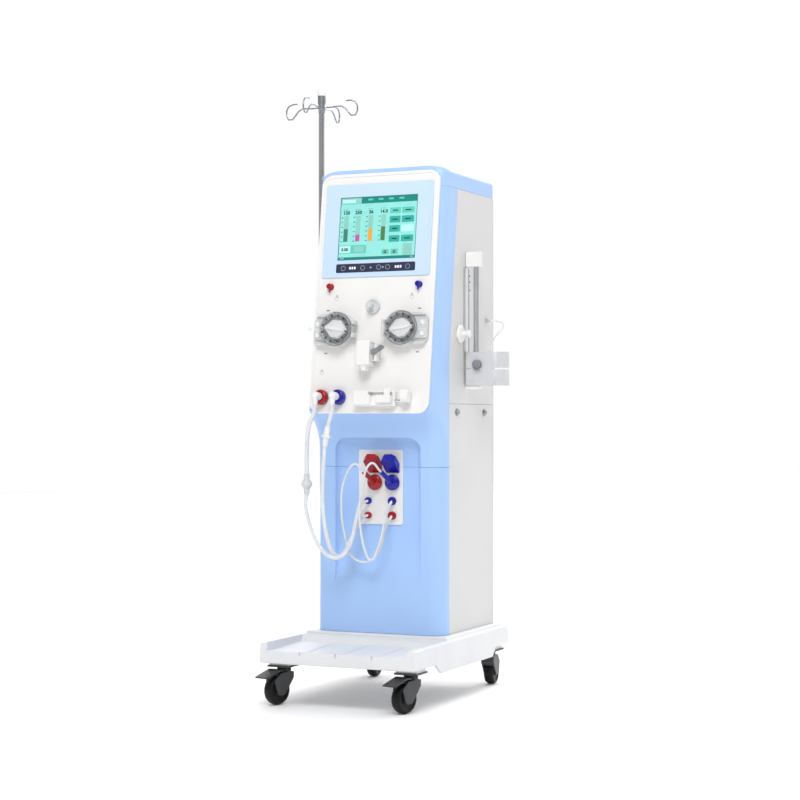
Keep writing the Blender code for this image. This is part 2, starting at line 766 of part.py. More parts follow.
def make_pump(side, sign):
    """Peristaltic pump: housing with a horseshoe raceway, roller rotor and clear hinged door."""
    seat = empty(f"pump_{side}_seat", PANEL, (sign * PUMP_SPACING / 2, 0, PUMP_MIDDLE))
    front = GAP + PUMP_THICK
    housing = part(f"pump_housing_{side}", front_slab(pump_outline(sign), GAP, front), "grey", seat)
    soften(housing, 1.5 * MM, 1)
    floor = front - RACEWAY_DEPTH
    well = rod(RACEWAY_RADIUS, (0, -floor, 0), (0, -front - OVERRUN, 0), 24)
    cut(housing, tool(f"raceway_{side}", well, seat))
    tube_width = 9 * MM
    for level in (-1, 1):
        z = level * (RACEWAY_RADIUS - tube_width)
        low, high = sorted((0, sign * (PUMP_REACH + OVERRUN)))
        channel = box_between((low, -front - OVERRUN, z - tube_width / 2),
                              (high, -front + tube_width, z + tube_width / 2))
        cut(housing, tool(f"tube_channel_{side}_{level}", channel, seat))
    add_pump_hinge(housing, side, sign, seat)
    make_rotor(side, sign, seat, floor)
    make_pump_door(side, sign, seat, front)


def add_pump_hinge(housing, side, sign, seat):
    """Two knuckles on the inner side of the housing, joined to it by ears."""
    knuckle = 10 * MM
    middle = 16.5 * MM
    x = -sign * HINGE_OFFSET
    outer, inner = HINGE_OFFSET + HINGE_RADIUS, PUMP_RADIUS + GAP
    step_y = PUMP_THICK - OVERRUN
    root = PUMP_RADIUS - HINGE_RADIUS
    outline = [(outer, HINGE_STANDOFF), (inner, HINGE_STANDOFF), (inner, step_y), (root, step_y),
               (root, PUMP_THICK / 2), (outer, PUMP_THICK / 2)]
    outline = [(-sign * offset, -depth) for offset, depth in outline]
    for level in (-1, 1):
        low, high = middle * level - knuckle / 2, middle * level + knuckle / 2
        barrel = rod(HINGE_RADIUS, (x, -HINGE_STANDOFF, low), (x, -HINGE_STANDOFF, high), 12)
        join(housing, tool(f"hinge_ear_{side}_{level}", slab(outline, low, high), seat))
        join(housing, tool(f"hinge_knuckle_{side}_{level}", barrel, seat))


def make_rotor(side, sign, seat, floor):
    """Rotor with two rollers, guide pins and a bar grip across its knob."""
    hub_radius = 26 * MM
    hub_front = PUMP_THICK + 1.5 * MM
    arm_width = 15 * MM
    roller_radius = 6.5 * MM
    roller_place = RACEWAY_RADIUS - roller_radius - 2 * MM
    base = floor + GAP * 2
    arm_front = PUMP_THICK - 3 * MM
    grip_length, grip_width = 58 * MM, 10 * MM
    grip_front = hub_front + 8 * MM
    knob = [(hub_radius * 0.55, -hub_front), (hub_radius * 0.92, -hub_front + 2 * MM),
            (hub_radius, -hub_front + 5 * MM), (hub_radius, -base)]
    shape = [(0, hub_front), *[(radius, -depth) for radius, depth in knob], (0, base)]
    tilt = radians(9) * sign
    place = (0, 0, 0), (radians(90), tilt, 0)
    rotor = turned(f"pump_rotor_{side}", shape, "white", 20, seat, *place)
    arm = box_between((-roller_place, -arm_width / 2, base), (roller_place, arm_width / 2, arm_front))
    join(rotor, tool(f"rotor_arm_{side}", arm, seat, *place))
    for index, direction in enumerate((-1, 1)):
        x = direction * roller_place
        roller = rod(roller_radius, (x, 0, base), (x, 0, arm_front + 2 * MM), 10)
        join(rotor, tool(f"roller_{side}_{index}", roller, seat, *place))
        pin = rod(roller_radius / 2, (0, direction * roller_place, base),
                  (0, direction * roller_place, arm_front), 8)
        spoke = box_between((-roller_radius / 2, min(0, direction * roller_place), base),
                            (roller_radius / 2, max(0, direction * roller_place), base * 1.6))
        join(rotor, tool(f"guide_spoke_{side}_{index}", spoke, seat, *place))
        join(rotor, tool(f"guide_pin_{side}_{index}", pin, seat, *place))
    bar = [(-grip_length / 2, -grip_width / 4), (0, -grip_width / 2),
           (grip_length / 2, -grip_width / 4), (grip_length / 2, grip_width / 4),
           (0, grip_width / 2), (-grip_length / 2, grip_width / 4)]
    join(rotor, tool(f"grip_{side}", slab(bar, arm_front, grip_front), seat, *place))


def make_pump_door(side, sign, seat, front):
    """Clear door: a shallow cup over the rotor, on a hinge barrel, with a finger tab."""
    axis = Vector((-sign * HINGE_OFFSET, -HINGE_STANDOFF, 0))
    back = front + GAP
    outline = pump_outline(sign, GAP * 2)
    mesh = front_slab(outline, back, back + DOOR_THICK)
    mesh.transform(Matrix.Translation(-axis))
    door = part(f"pump_door_{side}", mesh, "clear", seat, axis)
    soften(door, 1.5 * MM, 1)
    hollow = front_slab(pump_outline(sign, DOOR_WALL + GAP * 2), back - OVERRUN,
                        back + DOOR_THICK - DOOR_WALL)
    cut(door, tool(f"door_hollow_{side}", hollow, seat))
    barrel_half = 10.5 * MM
    barrel = rod(HINGE_RADIUS - GAP, (axis.x, axis.y, -barrel_half), (axis.x, axis.y, barrel_half), 12)
    low, high = sorted((axis.x, -sign * (PUMP_RADIUS - DOOR_WALL)))
    web = box_between((low, axis.y - DOOR_WALL, -barrel_half), (high, axis.y, barrel_half))
    join(door, tool(f"door_web_{side}", web, seat))
    join(door, tool(f"door_barrel_{side}", barrel, seat))
    tab = 10 * MM
    low, high = sorted((sign * (PUMP_REACH - DOOR_WALL), sign * (PUMP_REACH + tab)))
    top = -(back + DOOR_THICK - DOOR_WALL)
    finger = box_between((low, top - DOOR_WALL, -tab / 2), (high, top, tab / 2))
    join(door, tool(f"door_tab_{side}", finger, seat))


def make_small_ports():
    """Red and blue pressure ports with a nozzle below, and the chamber port between the pumps."""
    cap_radius = 7.5 * MM
    cap_reach = 15 * MM
    flange = 3 * MM
    nozzle = 2.5 * MM
    for name, finish, sign in (("pressure_port_red", "red", -1), ("pressure_port_blue", "blue", 1)):
        seat = (sign * PORT_SPACING / 2, 0, PORT_MIDDLE)
        profile = [(0, cap_reach), (cap_radius * 0.8, cap_reach),
                   (cap_radius, cap_reach - flange / 2), (cap_radius, flange),
                   (cap_radius + flange / 2, flange), (cap_radius + flange / 2, GAP), (0, GAP)]
        port = turned(name, profile, finish, 14, PANEL, seat, FACE_OUT)
        drop = rod(nozzle, (0, 0, cap_reach / 2), (0, -cap_radius * 2, cap_reach / 2), 8)
        join(port, tool(f"{name}_nozzle", drop, PANEL, seat, FACE_OUT))

    radius = 17 * MM
    thick = 6 * MM
    peg = 5.5 * MM
    reach = 30 * MM
    profile = [(0, reach), (peg * 1.3, reach), (peg * 1.5, reach - 2 * MM),
               (peg * 1.5, reach - thick), (peg, reach - thick), (peg, thick),
               (radius * 0.7, thick), (radius * 0.8, thick * 1.3), (radius * 0.95, thick * 1.3),
               (radius, thick), (radius, GAP), (0, GAP)]
    turned("chamber_port", profile, "grey", 18, PANEL, (0, 0, CHAMBER_PORT_MIDDLE), FACE_OUT)


def make_detector():
    """Air detector block with its tube clamp on the right and a round foot below."""
    left, right = -24 * MM, 14 * MM
    height = 64 * MM
    reach = 42 * MM
    foot_radius, foot_drop = 12 * MM, 13 * MM
    body = part("detector_body", box_between((left, -reach, DETECTOR_FOOT),
                                             (right, -GAP, DETECTOR_FOOT + height)), "white", PANEL)
    soften(body, 3 * MM, 3)
    middle = (left + right) / 2
    foot = rod(foot_radius, (middle, -reach * 0.6, DETECTOR_FOOT - foot_drop),
               (middle, -reach * 0.6, DETECTOR_FOOT + foot_drop), 18)
    join(body, tool("detector_foot", foot, PANEL))
    jaw_low, jaw_high = DETECTOR_FOOT + 12 * MM, DETECTOR_FOOT + 56 * MM
    jaw_right = right + 17 * MM
    jaw = box_between((right - 2 * MM, -reach * 0.75, jaw_low), (jaw_right, -reach * 0.2, jaw_high))
    join(body, tool("clamp_jaw", jaw, PANEL))
    tube = 7 * MM
    slot = box_between((right + 4 * MM, -reach, jaw_low - OVERRUN),
                       (right + 4 * MM + tube, -reach * 0.45, jaw_high + OVERRUN))
    cut(body, tool("clamp_slot", slot, PANEL))

    pivot = Vector((right + 8 * MM, -reach * 0.75 - GAP, (jaw_low + jaw_high) / 2))
    thick = 5 * MM
    arm = round_corners([(-6 * MM, -6 * MM), (6 * MM, -6 * MM), (30 * MM, 9 * MM),
                         (26 * MM, 17 * MM), (-6 * MM, 6 * MM)], 4 * MM, 3)
    lever = part("detector_lever", front_slab(arm, 0, thick), "grey", PANEL, pivot)
    soften(lever, 0.8 * MM, 1)
    knob = rod(5 * MM, (26 * MM, -thick / 2, 12 * MM), (26 * MM, -thick - 9 * MM, 12 * MM), 12)
    join(lever, tool("lever_knob", knob, PANEL, pivot))


def make_syringe_pump():
    """Heparin syringe pump: cradle, barrel clamp that pulls out, and pusher on its shaft."""
    right = SYRINGE_LEFT_X + SYRINGE_LENGTH
    step_x = SYRINGE_LEFT_X + SYRINGE_LENGTH * 0.42
    top = SYRINGE_FOOT + SYRINGE_HEIGHT
    high_reach, low_reach = 30 * MM, 22 * MM
    base = part("syringe_cradle", box_between((SYRINGE_LEFT_X, -low_reach, SYRINGE_FOOT),
                                              (right, -GAP, top)), "white", PANEL)
    soften(base, 3 * MM, 2)
    block = box_between((SYRINGE_LEFT_X + 2 * MM, -high_reach, SYRINGE_FOOT + 2 * MM),
                        (step_x, -low_reach / 2, top - 2 * MM))
    join(base, soften(tool("cradle_block", block, PANEL), 3 * MM, 2))
    barrel = 11 * MM
    barrel_z = SYRINGE_FOOT + SYRINGE_HEIGHT * 0.62
    trough = rod(barrel, (SYRINGE_LEFT_X - OVERRUN, -high_reach, barrel_z),
                 (right + OVERRUN, -high_reach, barrel_z), 24)
    cut(base, tool("barrel_trough", trough, PANEL))
    shaft_z = SYRINGE_FOOT + 11 * MM
    shaft_y = -low_reach / 2
    bore = rod(SYRINGE_SHAFT_RADIUS + GAP, (SYRINGE_LEFT_X + 14 * MM, shaft_y, shaft_z),
               (right + OVERRUN, shaft_y, shaft_z), 16)
    cut(base, tool("shaft_bore", bore, PANEL))

    clamp_left, clamp_right = right - 46 * MM, right - 4 * MM
    clamp_low, clamp_high = SYRINGE_FOOT + 4 * MM, SYRINGE_FOOT + 26 * MM
    clamp = part("syringe_clamp", box_between((clamp_left, -low_reach - 20 * MM, clamp_low),
                                              (clamp_right, -low_reach - GAP, clamp_high)),
                 "white", PANEL)
    soften(clamp, 2.5 * MM, 2)
    finger = box_between((clamp_left + 6 * MM, -low_reach - 18 * MM, clamp_low + 6 * MM),
                         (clamp_right - 6 * MM, -low_reach - 13 * MM, top + 2 * MM))
    join(clamp, soften(tool("clamp_finger", finger, PANEL), 1.5 * MM, 1))

    head_left, head_right = 104 * MM, 126 * MM
    head_radius = 18 * MM
    shaft_left = SYRINGE_LEFT_X + 34 * MM
    place = (head_left, shaft_y, shaft_z)
    head_depth = 34 * MM
    head = round_corners([(-head_depth, -8 * MM), (8 * MM, -8 * MM), (8 * MM, 2 * head_radius - 4 * MM),
                          (-head_depth, 2 * head_radius - 4 * MM)], [12 * MM, 4 * MM, 6 * MM, 12 * MM], 4)
    mesh = slab(head, 0, head_right - head_left, "YZ")
    pusher = soften(part("syringe_pusher", mesh, "white", PANEL, place), 1.5 * MM, 2)
    shaft = rod(SYRINGE_SHAFT_RADIUS, (shaft_left - head_left, 0, 0), (4 * MM, 0, 0), 16)
    join(pusher, tool("pusher_shaft", shaft, PANEL, place))


def make_couplings():
    """Red and blue dialysate couplings on the panel, each with a white elbow plug."""
    socket_depth = 11 * MM
    for name, finish, x in zip(("red", "blue"), ("red", "blue"), COUPLING_X):
        seat = (x, 0, COUPLING_MIDDLE)
        bore = PLUG_RADIUS + GAP
        profile = [(bore, COUPLING_THICK - socket_depth), (bore, COUPLING_THICK),
                   (COUPLING_RADIUS * 0.72, COUPLING_THICK + 2 * MM),
                   (COUPLING_RADIUS * 0.93, COUPLING_THICK),
                   (COUPLING_RADIUS, COUPLING_THICK - 4 * MM), (COUPLING_RADIUS, GAP),
                   (0, GAP), (0, COUPLING_THICK - socket_depth)]
        turned(f"coupling_{name}", profile, finish, 22, PANEL, seat, FACE_OUT, closed=True)
        make_elbow(name, seat, COUPLING_THICK - socket_depth + GAP)


def make_elbow(name, seat, back):
    """Plug, cap and downward hose leg of one elbow."""
    cap = PLUG_RADIUS + 1.5 * MM
    profile = [(0, ELBOW_REACH + cap), (cap * 0.7, ELBOW_REACH + cap * 0.8),
               (cap, ELBOW_REACH + cap * 0.35), (cap, COUPLING_THICK + 5 * MM),
               (PLUG_RADIUS, COUPLING_THICK + 4 * MM), (PLUG_RADIUS, back), (0, back)]
    elbow = turned(f"elbow_{name}", profile, "hose", 18, PANEL, seat, FACE_OUT)
    leg = HOSE_RADIUS + 2 * MM
    x, _, z = seat
    down = rod(leg, (x, -ELBOW_REACH, z), (x, -ELBOW_REACH, z - ELBOW_DROP), 14, HOSE_RADIUS + 1 * MM)
    join(elbow, tool(f"elbow_leg_{name}", down, PANEL))


def make_connector_plate():
    """White plate in the niche with four hose nozzles in round collars."""
    face = PLATE_FACE_Y
    corner = 6 * MM
    outline = rounded_box(PLATE_WIDTH, PLATE_HEIGHT, corner, foot=PLATE_FOOT_Z, segments=4)
    plate = part("connector_plate", front_slab(outline, -face - PLATE_THICK, -face), "white")
    soften(plate, 0.8 * MM, 1)
    nozzle = HOSE_RADIUS - 2 * MM
    for row, z in enumerate(NOZZLE_Z):
        for column, x in enumerate(NOZZLE_X):
            collar_radius = (9 + 2 * column) * MM
            collar = rod(collar_radius, (x, face + PLATE_THICK / 2, z), (x, face - COLLAR_THICK, z), 16)
            tip = nozzle_tip(column, row)
            stub = rod(nozzle, (x, face - COLLAR_THICK / 2, z), tip, 10)
            join(plate, tool(f"collar_{row}_{column}", collar))
            join(plate, tool(f"nozzle_{row}_{column}", stub))


def nozzle_direction(column):
    """Left nozzles point forward; right ones point forward and down."""
    return Vector(((-0.30, -0.93, -0.20), (-0.12, -0.75, -0.65))[column]).normalized()


def nozzle_tip(column, row):
    start = Vector((NOZZLE_X[column], PLATE_FACE_Y - COLLAR_THICK / 2, NOZZLE_Z[row]))
    return start + nozzle_direction(column) * NOZZLE_REACH


def wand_tip(x):
    """Where a wand's hose leaves its elbow arm."""
    return Vector((x - 9 * MM, PLATE_FACE_Y - 55 * MM, WAND_Z + 29 * MM))


def arm_direction():
    """Wand arms point forward, up and to the left."""
    return Vector((-0.40, -0.62, 0.67)).normalized()


def make_wands_and_lids():
    """Red and blue suction wands in their ports, and the hinged port lids above them."""
    edge = 3 * MM
    front = WAND_THICK
    for name, x in zip(("red", "blue"), WAND_X):
        seat = Vector((x, PLATE_FACE_Y, WAND_Z))
        profile = [(0, front), (WAND_RADIUS - edge * 2, front), (WAND_RADIUS - edge / 3, front - edge),
                   (WAND_RADIUS, front / 2), (WAND_RADIUS - edge / 3, edge), (WAND_RADIUS - edge, GAP),
                   (0, GAP)]
        wand = turned(f"wand_{name}", profile, name, 20, None, seat, FACE_OUT)
        tip = wand_tip(x)
        elbow = tip - arm_direction() * WAND_RADIUS
        route = [[seat + Vector((0, -front / 2, 0)), seat + Vector((0, -front * 1.4, edge / 2)), elbow],
                 [tip]]
        arm = wire(joined_route(route, WAND_ARM_RADIUS * 1.5), WAND_ARM_RADIUS)
        join(wand, tool(f"wand_arm_{name}", arm))
        make_lid(name, x, PLATE_FACE_Y)


def make_lid(name, x, face):
    """A cup-shaped lid on a hinge at its top edge, held open by the wand below it."""
    barrel = 3 * MM
    wall = 2.5 * MM
    slope = LID_WIDTH * 0.26
    half = LID_WIDTH / 2
    outline = [(-half, -LID_HEIGHT), (half, -LID_HEIGHT), (half, -slope), (half - slope, 0),
               (-half + slope, 0), (-half, -slope)]
    place = (x, face - barrel - GAP, LID_HINGE_Z)
    turn = (-LID_OPEN, 0, 0)
    mesh = front_slab(round_corners(outline, [5 * MM, 5 * MM, 3 * MM, 3 * MM, 3 * MM, 3 * MM], 3),
                      -barrel / 2, LID_DEPTH - barrel)
    lid = soften(part(f"lid_{name}", mesh, name, None, place, turn), 1.5 * MM, 1)
    inner = half - wall
    hollow = [(-inner, -LID_HEIGHT + wall), (inner, -LID_HEIGHT + wall), (inner, -slope - wall),
              (inner - slope, -wall - barrel), (-inner + slope, -wall - barrel), (-inner, -slope - wall)]
    pocket = front_slab(hollow, -barrel - OVERRUN, LID_DEPTH - barrel - wall)
    cut(lid, tool(f"lid_hollow_{name}", pocket, None, place, turn))
    pin = rod(barrel, (-half + slope, 0, 0), (half - slope, 0, 0), 12)
    join(lid, tool(f"lid_barrel_{name}", pin, None, place, turn))


def panel_point(x, standoff, height):
    """A place given on the front panel, in the machine's axes."""
    return Vector((x, PANEL_FOOT_Y + height * sin(LEAN) - standoff * cos(LEAN),
                   PANEL_FOOT_Z + height * cos(LEAN) + standoff * sin(LEAN)))


def elbow_end(x):
    end = panel_point(x, ELBOW_REACH, COUPLING_MIDDLE - ELBOW_DROP)
    down = Vector((0, -sin(LEAN), -cos(LEAN)))
    return end, down


def joint_ends(seat, axis):
    """Where a hose enters and leaves the straight run through an in-line joint."""
    reach = axis * (JOINT_LENGTH / 2 + GAP)
    return seat + reach, seat - reach


def port_run(column, row):
    """The last straight run of a hose onto a nozzle of the connector plate."""
    direction = nozzle_direction(column)
    end = nozzle_tip(column, row) + direction * GAP
    return end + direction * HOSE_RADIUS * 2, end


def make_supply_hose():
    start, down = elbow_end(COUPLING_X[0])
    seat, axis = Vector((-0.156, -0.101, 0.559)), Vector((0, 0, 1))
    above, below = joint_ends(seat, axis)
    near, end = port_run(0, 0)
    spans = [[start + down * GAP],
             [start + down * HOSE_RADIUS * 3, (-0.150, -0.100, 0.711), (-0.155, -0.101, 0.668),
              (-0.156, -0.101, 0.625), above],
             [seat],
             [below, (-0.160, -0.101, 0.508), (-0.156, -0.100, 0.480), (-0.147, -0.097, 0.448),
              (-0.136, -0.094, 0.418), (-0.121, -0.090, 0.392), (-0.102, -0.084, 0.373),
              (-0.080, -0.077, 0.367), (-0.061, -0.070, 0.379), (-0.045, -0.063, 0.412),
              (-0.039, -0.054, 0.452), (-0.038, -0.041, 0.482), (-0.041, -0.024, 0.502), near],
             [end]]
    hose("dialysate_hose_supply", spans, HOSE_RADIUS)
    make_supply_joint(seat, axis)


def make_return_hose():
    start, down = elbow_end(COUPLING_X[1])
    axis = Vector((0.17, 0.0, 1.0)).normalized()
    seat = Vector((-0.1005, -0.098, 0.683))
    above, below = joint_ends(seat, axis)
    near, end = port_run(0, 1)
    spans = [[start + down * GAP],
             [start + down * HOSE_RADIUS * 3, above],
             [seat],
             [below, (-0.107, -0.097, 0.634), (-0.110, -0.096, 0.602), (-0.113, -0.094, 0.559),
              (-0.115, -0.091, 0.515), (-0.113, -0.087, 0.470), (-0.108, -0.080, 0.425),
              (-0.102, -0.075, 0.396), (-0.092, -0.068, 0.375), (-0.078, -0.060, 0.370),
              (-0.066, -0.052, 0.387), (-0.057, -0.041, 0.414), (-0.050, -0.029, 0.440),
              (-0.045, -0.019, 0.459), near],
             [end]]
    hose("dialysate_hose_return", spans, HOSE_RADIUS)
    make_return_joint(seat, axis)


def make_wand_hoses():
    """Thin hoses from the wands to the right-hand nozzles."""
    outward = arm_direction()
    tip = wand_tip(WAND_X[0])
    near, end = port_run(1, 1)
    spans = [[tip + outward * GAP],
             [tip + outward * THIN_HOSE_RADIUS * 3, (-0.043, -0.044, 0.611), (-0.059, -0.044, 0.600),
              (-0.075, -0.042, 0.571), (-0.084, -0.040, 0.540), (-0.087, -0.037, 0.505),
              (-0.087, -0.034, 0.469), (-0.080, -0.031, 0.427), (-0.071, -0.030, 0.388),
              (-0.055, -0.031, 0.366), (-0.031, -0.033, 0.356), (-0.008, -0.034, 0.358),
              (0.009, -0.034, 0.370), (0.021, -0.033, 0.388), (0.029, -0.030, 0.414),
              (0.030, -0.024, 0.436), near],
             [end]]
    hose("wand_hose_red", spans, THIN_HOSE_RADIUS)

    tip = wand_tip(WAND_X[1])
    near, end = port_run(1, 0)
    spans = [[tip + outward * GAP],
             [tip + outward * THIN_HOSE_RADIUS * 3, (0.013, -0.056, 0.614), (0.002, -0.063, 0.606),
              (-0.005, -0.068, 0.586), (-0.009, -0.070, 0.560), (-0.017, -0.070, 0.524),
              (-0.020, -0.068, 0.495), (-0.020, -0.065, 0.461), (-0.015, -0.063, 0.420),
              (-0.006, -0.060, 0.384), (0.008, -0.056, 0.363), (0.021, -0.051, 0.386),
              (0.030, -0.047, 0.413), (0.035, -0.042, 0.440), (0.035, -0.033, 0.468), near],
             [end]]
    hose("wand_hose_blue", spans, THIN_HOSE_RADIUS)


def make_supply_joint(seat, axis):
    """In-line joint with a waisted grip in its middle."""
    bore = HOSE_RADIUS + GAP
    half = JOINT_LENGTH / 2
    sleeve, grip, band = HOSE_RADIUS + 2 * MM, 14 * MM, 3 * MM
    upper = [(bore, half), (sleeve, half), (sleeve, band * 3.6), (grip * 0.75, band * 3), (grip, band)]
    profile = upper + [(radius, -height) for radius, height in reversed(upper)]
    turned("hose_joint_supply", profile, "grey", 16, None, seat, facing(axis).to_euler(),
           closed=True)


def make_return_joint(seat, axis):
    """In-line joint with a thin flange."""
    bore = HOSE_RADIUS + GAP
    half = JOINT_LENGTH / 2
    sleeve, flange, band = HOSE_RADIUS + 2 * MM, 12.5 * MM, 3 * MM
    upper = [(bore, half), (sleeve, half), (sleeve, band), (flange, band)]
    profile = upper + [(radius, -height) for radius, height in reversed(upper)]
    turned("hose_joint_return", profile, "white", 16, None, seat, facing(axis).to_euler(),
           closed=True)


def base_side_outline():
    """The base seen from its side: lip at both ends, deeper skirt between the wheels."""
    ramp = 36 * MM
    rear_ramp = 23 * MM
    slant = 5 * MM
    corners = [(BASE_FRONT_Y, BASE_LIP_Z), (SKIRT_FRONT_Y - ramp, BASE_LIP_Z),
               (SKIRT_FRONT_Y, SKIRT_FOOT_Z), (SKIRT_REAR_Y, SKIRT_FOOT_Z),
               (SKIRT_REAR_Y + rear_ramp, BASE_LIP_Z), (BASE_REAR_Y, BASE_LIP_Z),
               (BASE_REAR_Y - slant, BASE_TOP_Z), (BASE_FRONT_Y + slant, BASE_TOP_Z)]
    rear_round = 16 * MM
    small = 3 * MM
    return round_corners(corners, [small, small, small, small, small, small, rear_round, small], 2)


def make_base():
    """Moulded base: front tray with drain grooves, deck under the column, hollow below."""
    half = BASE_WIDTH / 2
    base = part("base_tray", slab(base_side_outline(), -half, half, "YZ"), "white")
    soften(base, 5 * MM, 2, radians(60))
    deck_top = COLUMN_FOOT_Z - GAP
    deck_front = -13 * MM
    deck_side = 12 * MM
    deck = box_between((-half + deck_side, deck_front, BASE_TOP_Z - BASE_WALL),
                       (half - deck_side, BODY_REAR_Y + deck_side, deck_top))
    join(base, soften(tool("deck", deck), (deck_top - BASE_TOP_Z) / 2, 2))

    inner = half - TRAY_RIM
    tray_front = BASE_FRONT_Y + TRAY_RIM
    ramp = -deck_front - GAP
    pocket = [(tray_front, TRAY_FLOOR_Z), (TRAY_REAR_Y, TRAY_FLOOR_Z + TRAY_RISE),
              (TRAY_REAR_Y + ramp, deck_top), (TRAY_REAR_Y + ramp, deck_top + OVERRUN),
              (tray_front - OVERRUN, deck_top + OVERRUN), (tray_front - OVERRUN, BASE_TOP_Z)]
    well = tool("tray_pocket", slab(pocket, -inner, inner, "YZ"))
    cut(base, soften(well, 4 * MM, 2, radians(60)))
    post = 20 * MM
    wall_top = 141 * MM
    notch = box_between((-half + post, BASE_FRONT_Y - OVERRUN, wall_top),
                        (half - post, tray_front + OVERRUN, deck_top + OVERRUN))
    cut(base, tool("front_wall_notch", notch))
    add_grooves(base, tray_front)
    below = box_between((-half + BASE_WALL, BASE_FRONT_Y + BASE_WALL, -OVERRUN),
                        (half - BASE_WALL, BASE_REAR_Y - BASE_WALL * 2, BASE_LIP_Z + 12 * MM))
    cut(base, tool("underside", below))
    add_caster_plates(base)


def add_grooves(base, tray_front):
    """Three drain grooves from the tray's back, over the front wall."""
    groove = 5 * MM
    depth = 4 * MM
    bays = 4
    bay = (BASE_WIDTH - 2 * TRAY_RIM) / bays
    for index in range(1, bays):
        x = -BASE_WIDTH / 2 + TRAY_RIM + bay * index
        path = [(BASE_FRONT_Y - OVERRUN, TRAY_FLOOR_Z - depth),
                (tray_front, TRAY_FLOOR_Z - depth),
                (TRAY_REAR_Y - groove, TRAY_FLOOR_Z + TRAY_RISE - depth),
                (TRAY_REAR_Y - groove, BASE_TOP_Z), (BASE_FRONT_Y - OVERRUN, BASE_TOP_Z)]
        cut(base, tool(f"groove_{index}", slab(path, x - groove / 2, x + groove / 2, "YZ")))


def caster_places():
    """Name, swivel axis and rest direction of each caster."""
    return (("front_left", -CASTER_X, CASTER_FRONT_Y, CASTER_TURN_FRONT),
            ("front_right", CASTER_X, CASTER_FRONT_Y, CASTER_TURN_FRONT),
            ("rear_left", -CASTER_X, CASTER_REAR_Y, CASTER_TURN_REAR),
            ("rear_right", CASTER_X, CASTER_REAR_Y, CASTER_TURN_REAR))


def add_caster_plates(base):
    """A pad, a mounting plate and a bearing boss over each caster."""
    pad = 56 * MM
    plate = 66 * MM
    thick = 4.5 * MM
    boss = 19 * MM
    for name, x, y, _ in caster_places():
        above = BASE_LIP_Z + 14 * MM
        pad_mesh = box_between((x - pad / 2, y - pad / 2, CASTER_PLATE_Z + thick / 2),
                               (x + pad / 2, y + pad / 2, above))
        if abs(x) + plate / 2 > BASE_WIDTH / 2 - BASE_WALL:
            plate_x = (BASE_WIDTH / 2 - BASE_WALL - abs(x))
        else:
            plate_x = plate / 2
        plate_mesh = box_between((x - plate_x, y - plate / 2, CASTER_PLATE_Z),
                                 (x + plate_x, y + plate / 2, CASTER_PLATE_Z + thick))
        boss_mesh = rod(boss, (x, y, FORK_TOP_Z + GAP), (x, y, CASTER_PLATE_Z + thick / 2), 20)
        join(base, tool(f"caster_pad_{name}", pad_mesh))
        join(base, tool(f"caster_plate_{name}", plate_mesh))
        join(base, tool(f"caster_boss_{name}", boss_mesh))


def fork_outline():
    """Side view of the fork: hood over the wheel and a leg that narrows to the axle."""
    hood_top = FORK_TOP_Z - 12.3 * MM
    axle_round = 13 * MM
    corners = [(19 * MM, hood_top), (-30 * MM, hood_top), (-51 * MM, hood_top - 20 * MM),
               (-CASTER_TRAIL - axle_round, WHEEL_RADIUS - axle_round),
               (-CASTER_TRAIL + axle_round, WHEEL_RADIUS - axle_round),
               (19 * MM, hood_top - 16 * MM)]
    return round_corners(corners, [2 * MM, 6 * MM, 6 * MM, 12 * MM, 12 * MM, 6 * MM], 3)


def make_caster(name, x, y, turn):
    """One caster: swivelling fork with its axle, wheel, and a brake pedal at the front."""
    pivot = empty(f"caster_{name}_swivel", MACHINE, (x, y, 0), (0, 0, turn))
    fork = part(f"caster_fork_{name}", slab(fork_outline(), -FORK_WIDTH / 2, FORK_WIDTH / 2, "YZ"),
                "dark_grey", pivot)
    soften(fork, 1.5 * MM, 1, radians(60))
    axle = Vector((0, -CASTER_TRAIL, WHEEL_RADIUS))
    room = WHEEL_WIDTH / 2 + 0.6 * MM
    clearance = 1.5 * MM
    well = rod(WHEEL_RADIUS + clearance, axle - Vector((room, 0, 0)), axle + Vector((room, 0, 0)), 20)
    cut(fork, tool(f"wheel_room_{name}", well, pivot))
    race = rod(18 * MM, (0, 0, FORK_TOP_Z - 15 * MM), (0, 0, FORK_TOP_Z), 16)
    join(fork, tool(f"swivel_race_{name}", race, pivot))
    half = Vector((FORK_WIDTH / 2 - 1 * MM, 0, 0))
    join(fork, tool(f"axle_{name}", rod(AXLE_RADIUS, axle - half, axle + half, 10), pivot))

    bore = AXLE_RADIUS + GAP
    width = WHEEL_WIDTH / 2
    hub, web, rim = 12 * MM, 27 * MM, 29 * MM
    tread = 3.5 * MM
    recess = 3 * MM
    right_side = [(bore, width), (hub, width), (web, width - recess), (rim, width),
                  (WHEEL_RADIUS - tread, width), (WHEEL_RADIUS, width / 2)]
    profile = right_side + [(radius, -height) for radius, height in reversed(right_side)]
    turned(f"caster_wheel_{name}", profile, "black", 18, pivot, axle, FACE_RIGHT, closed=True)


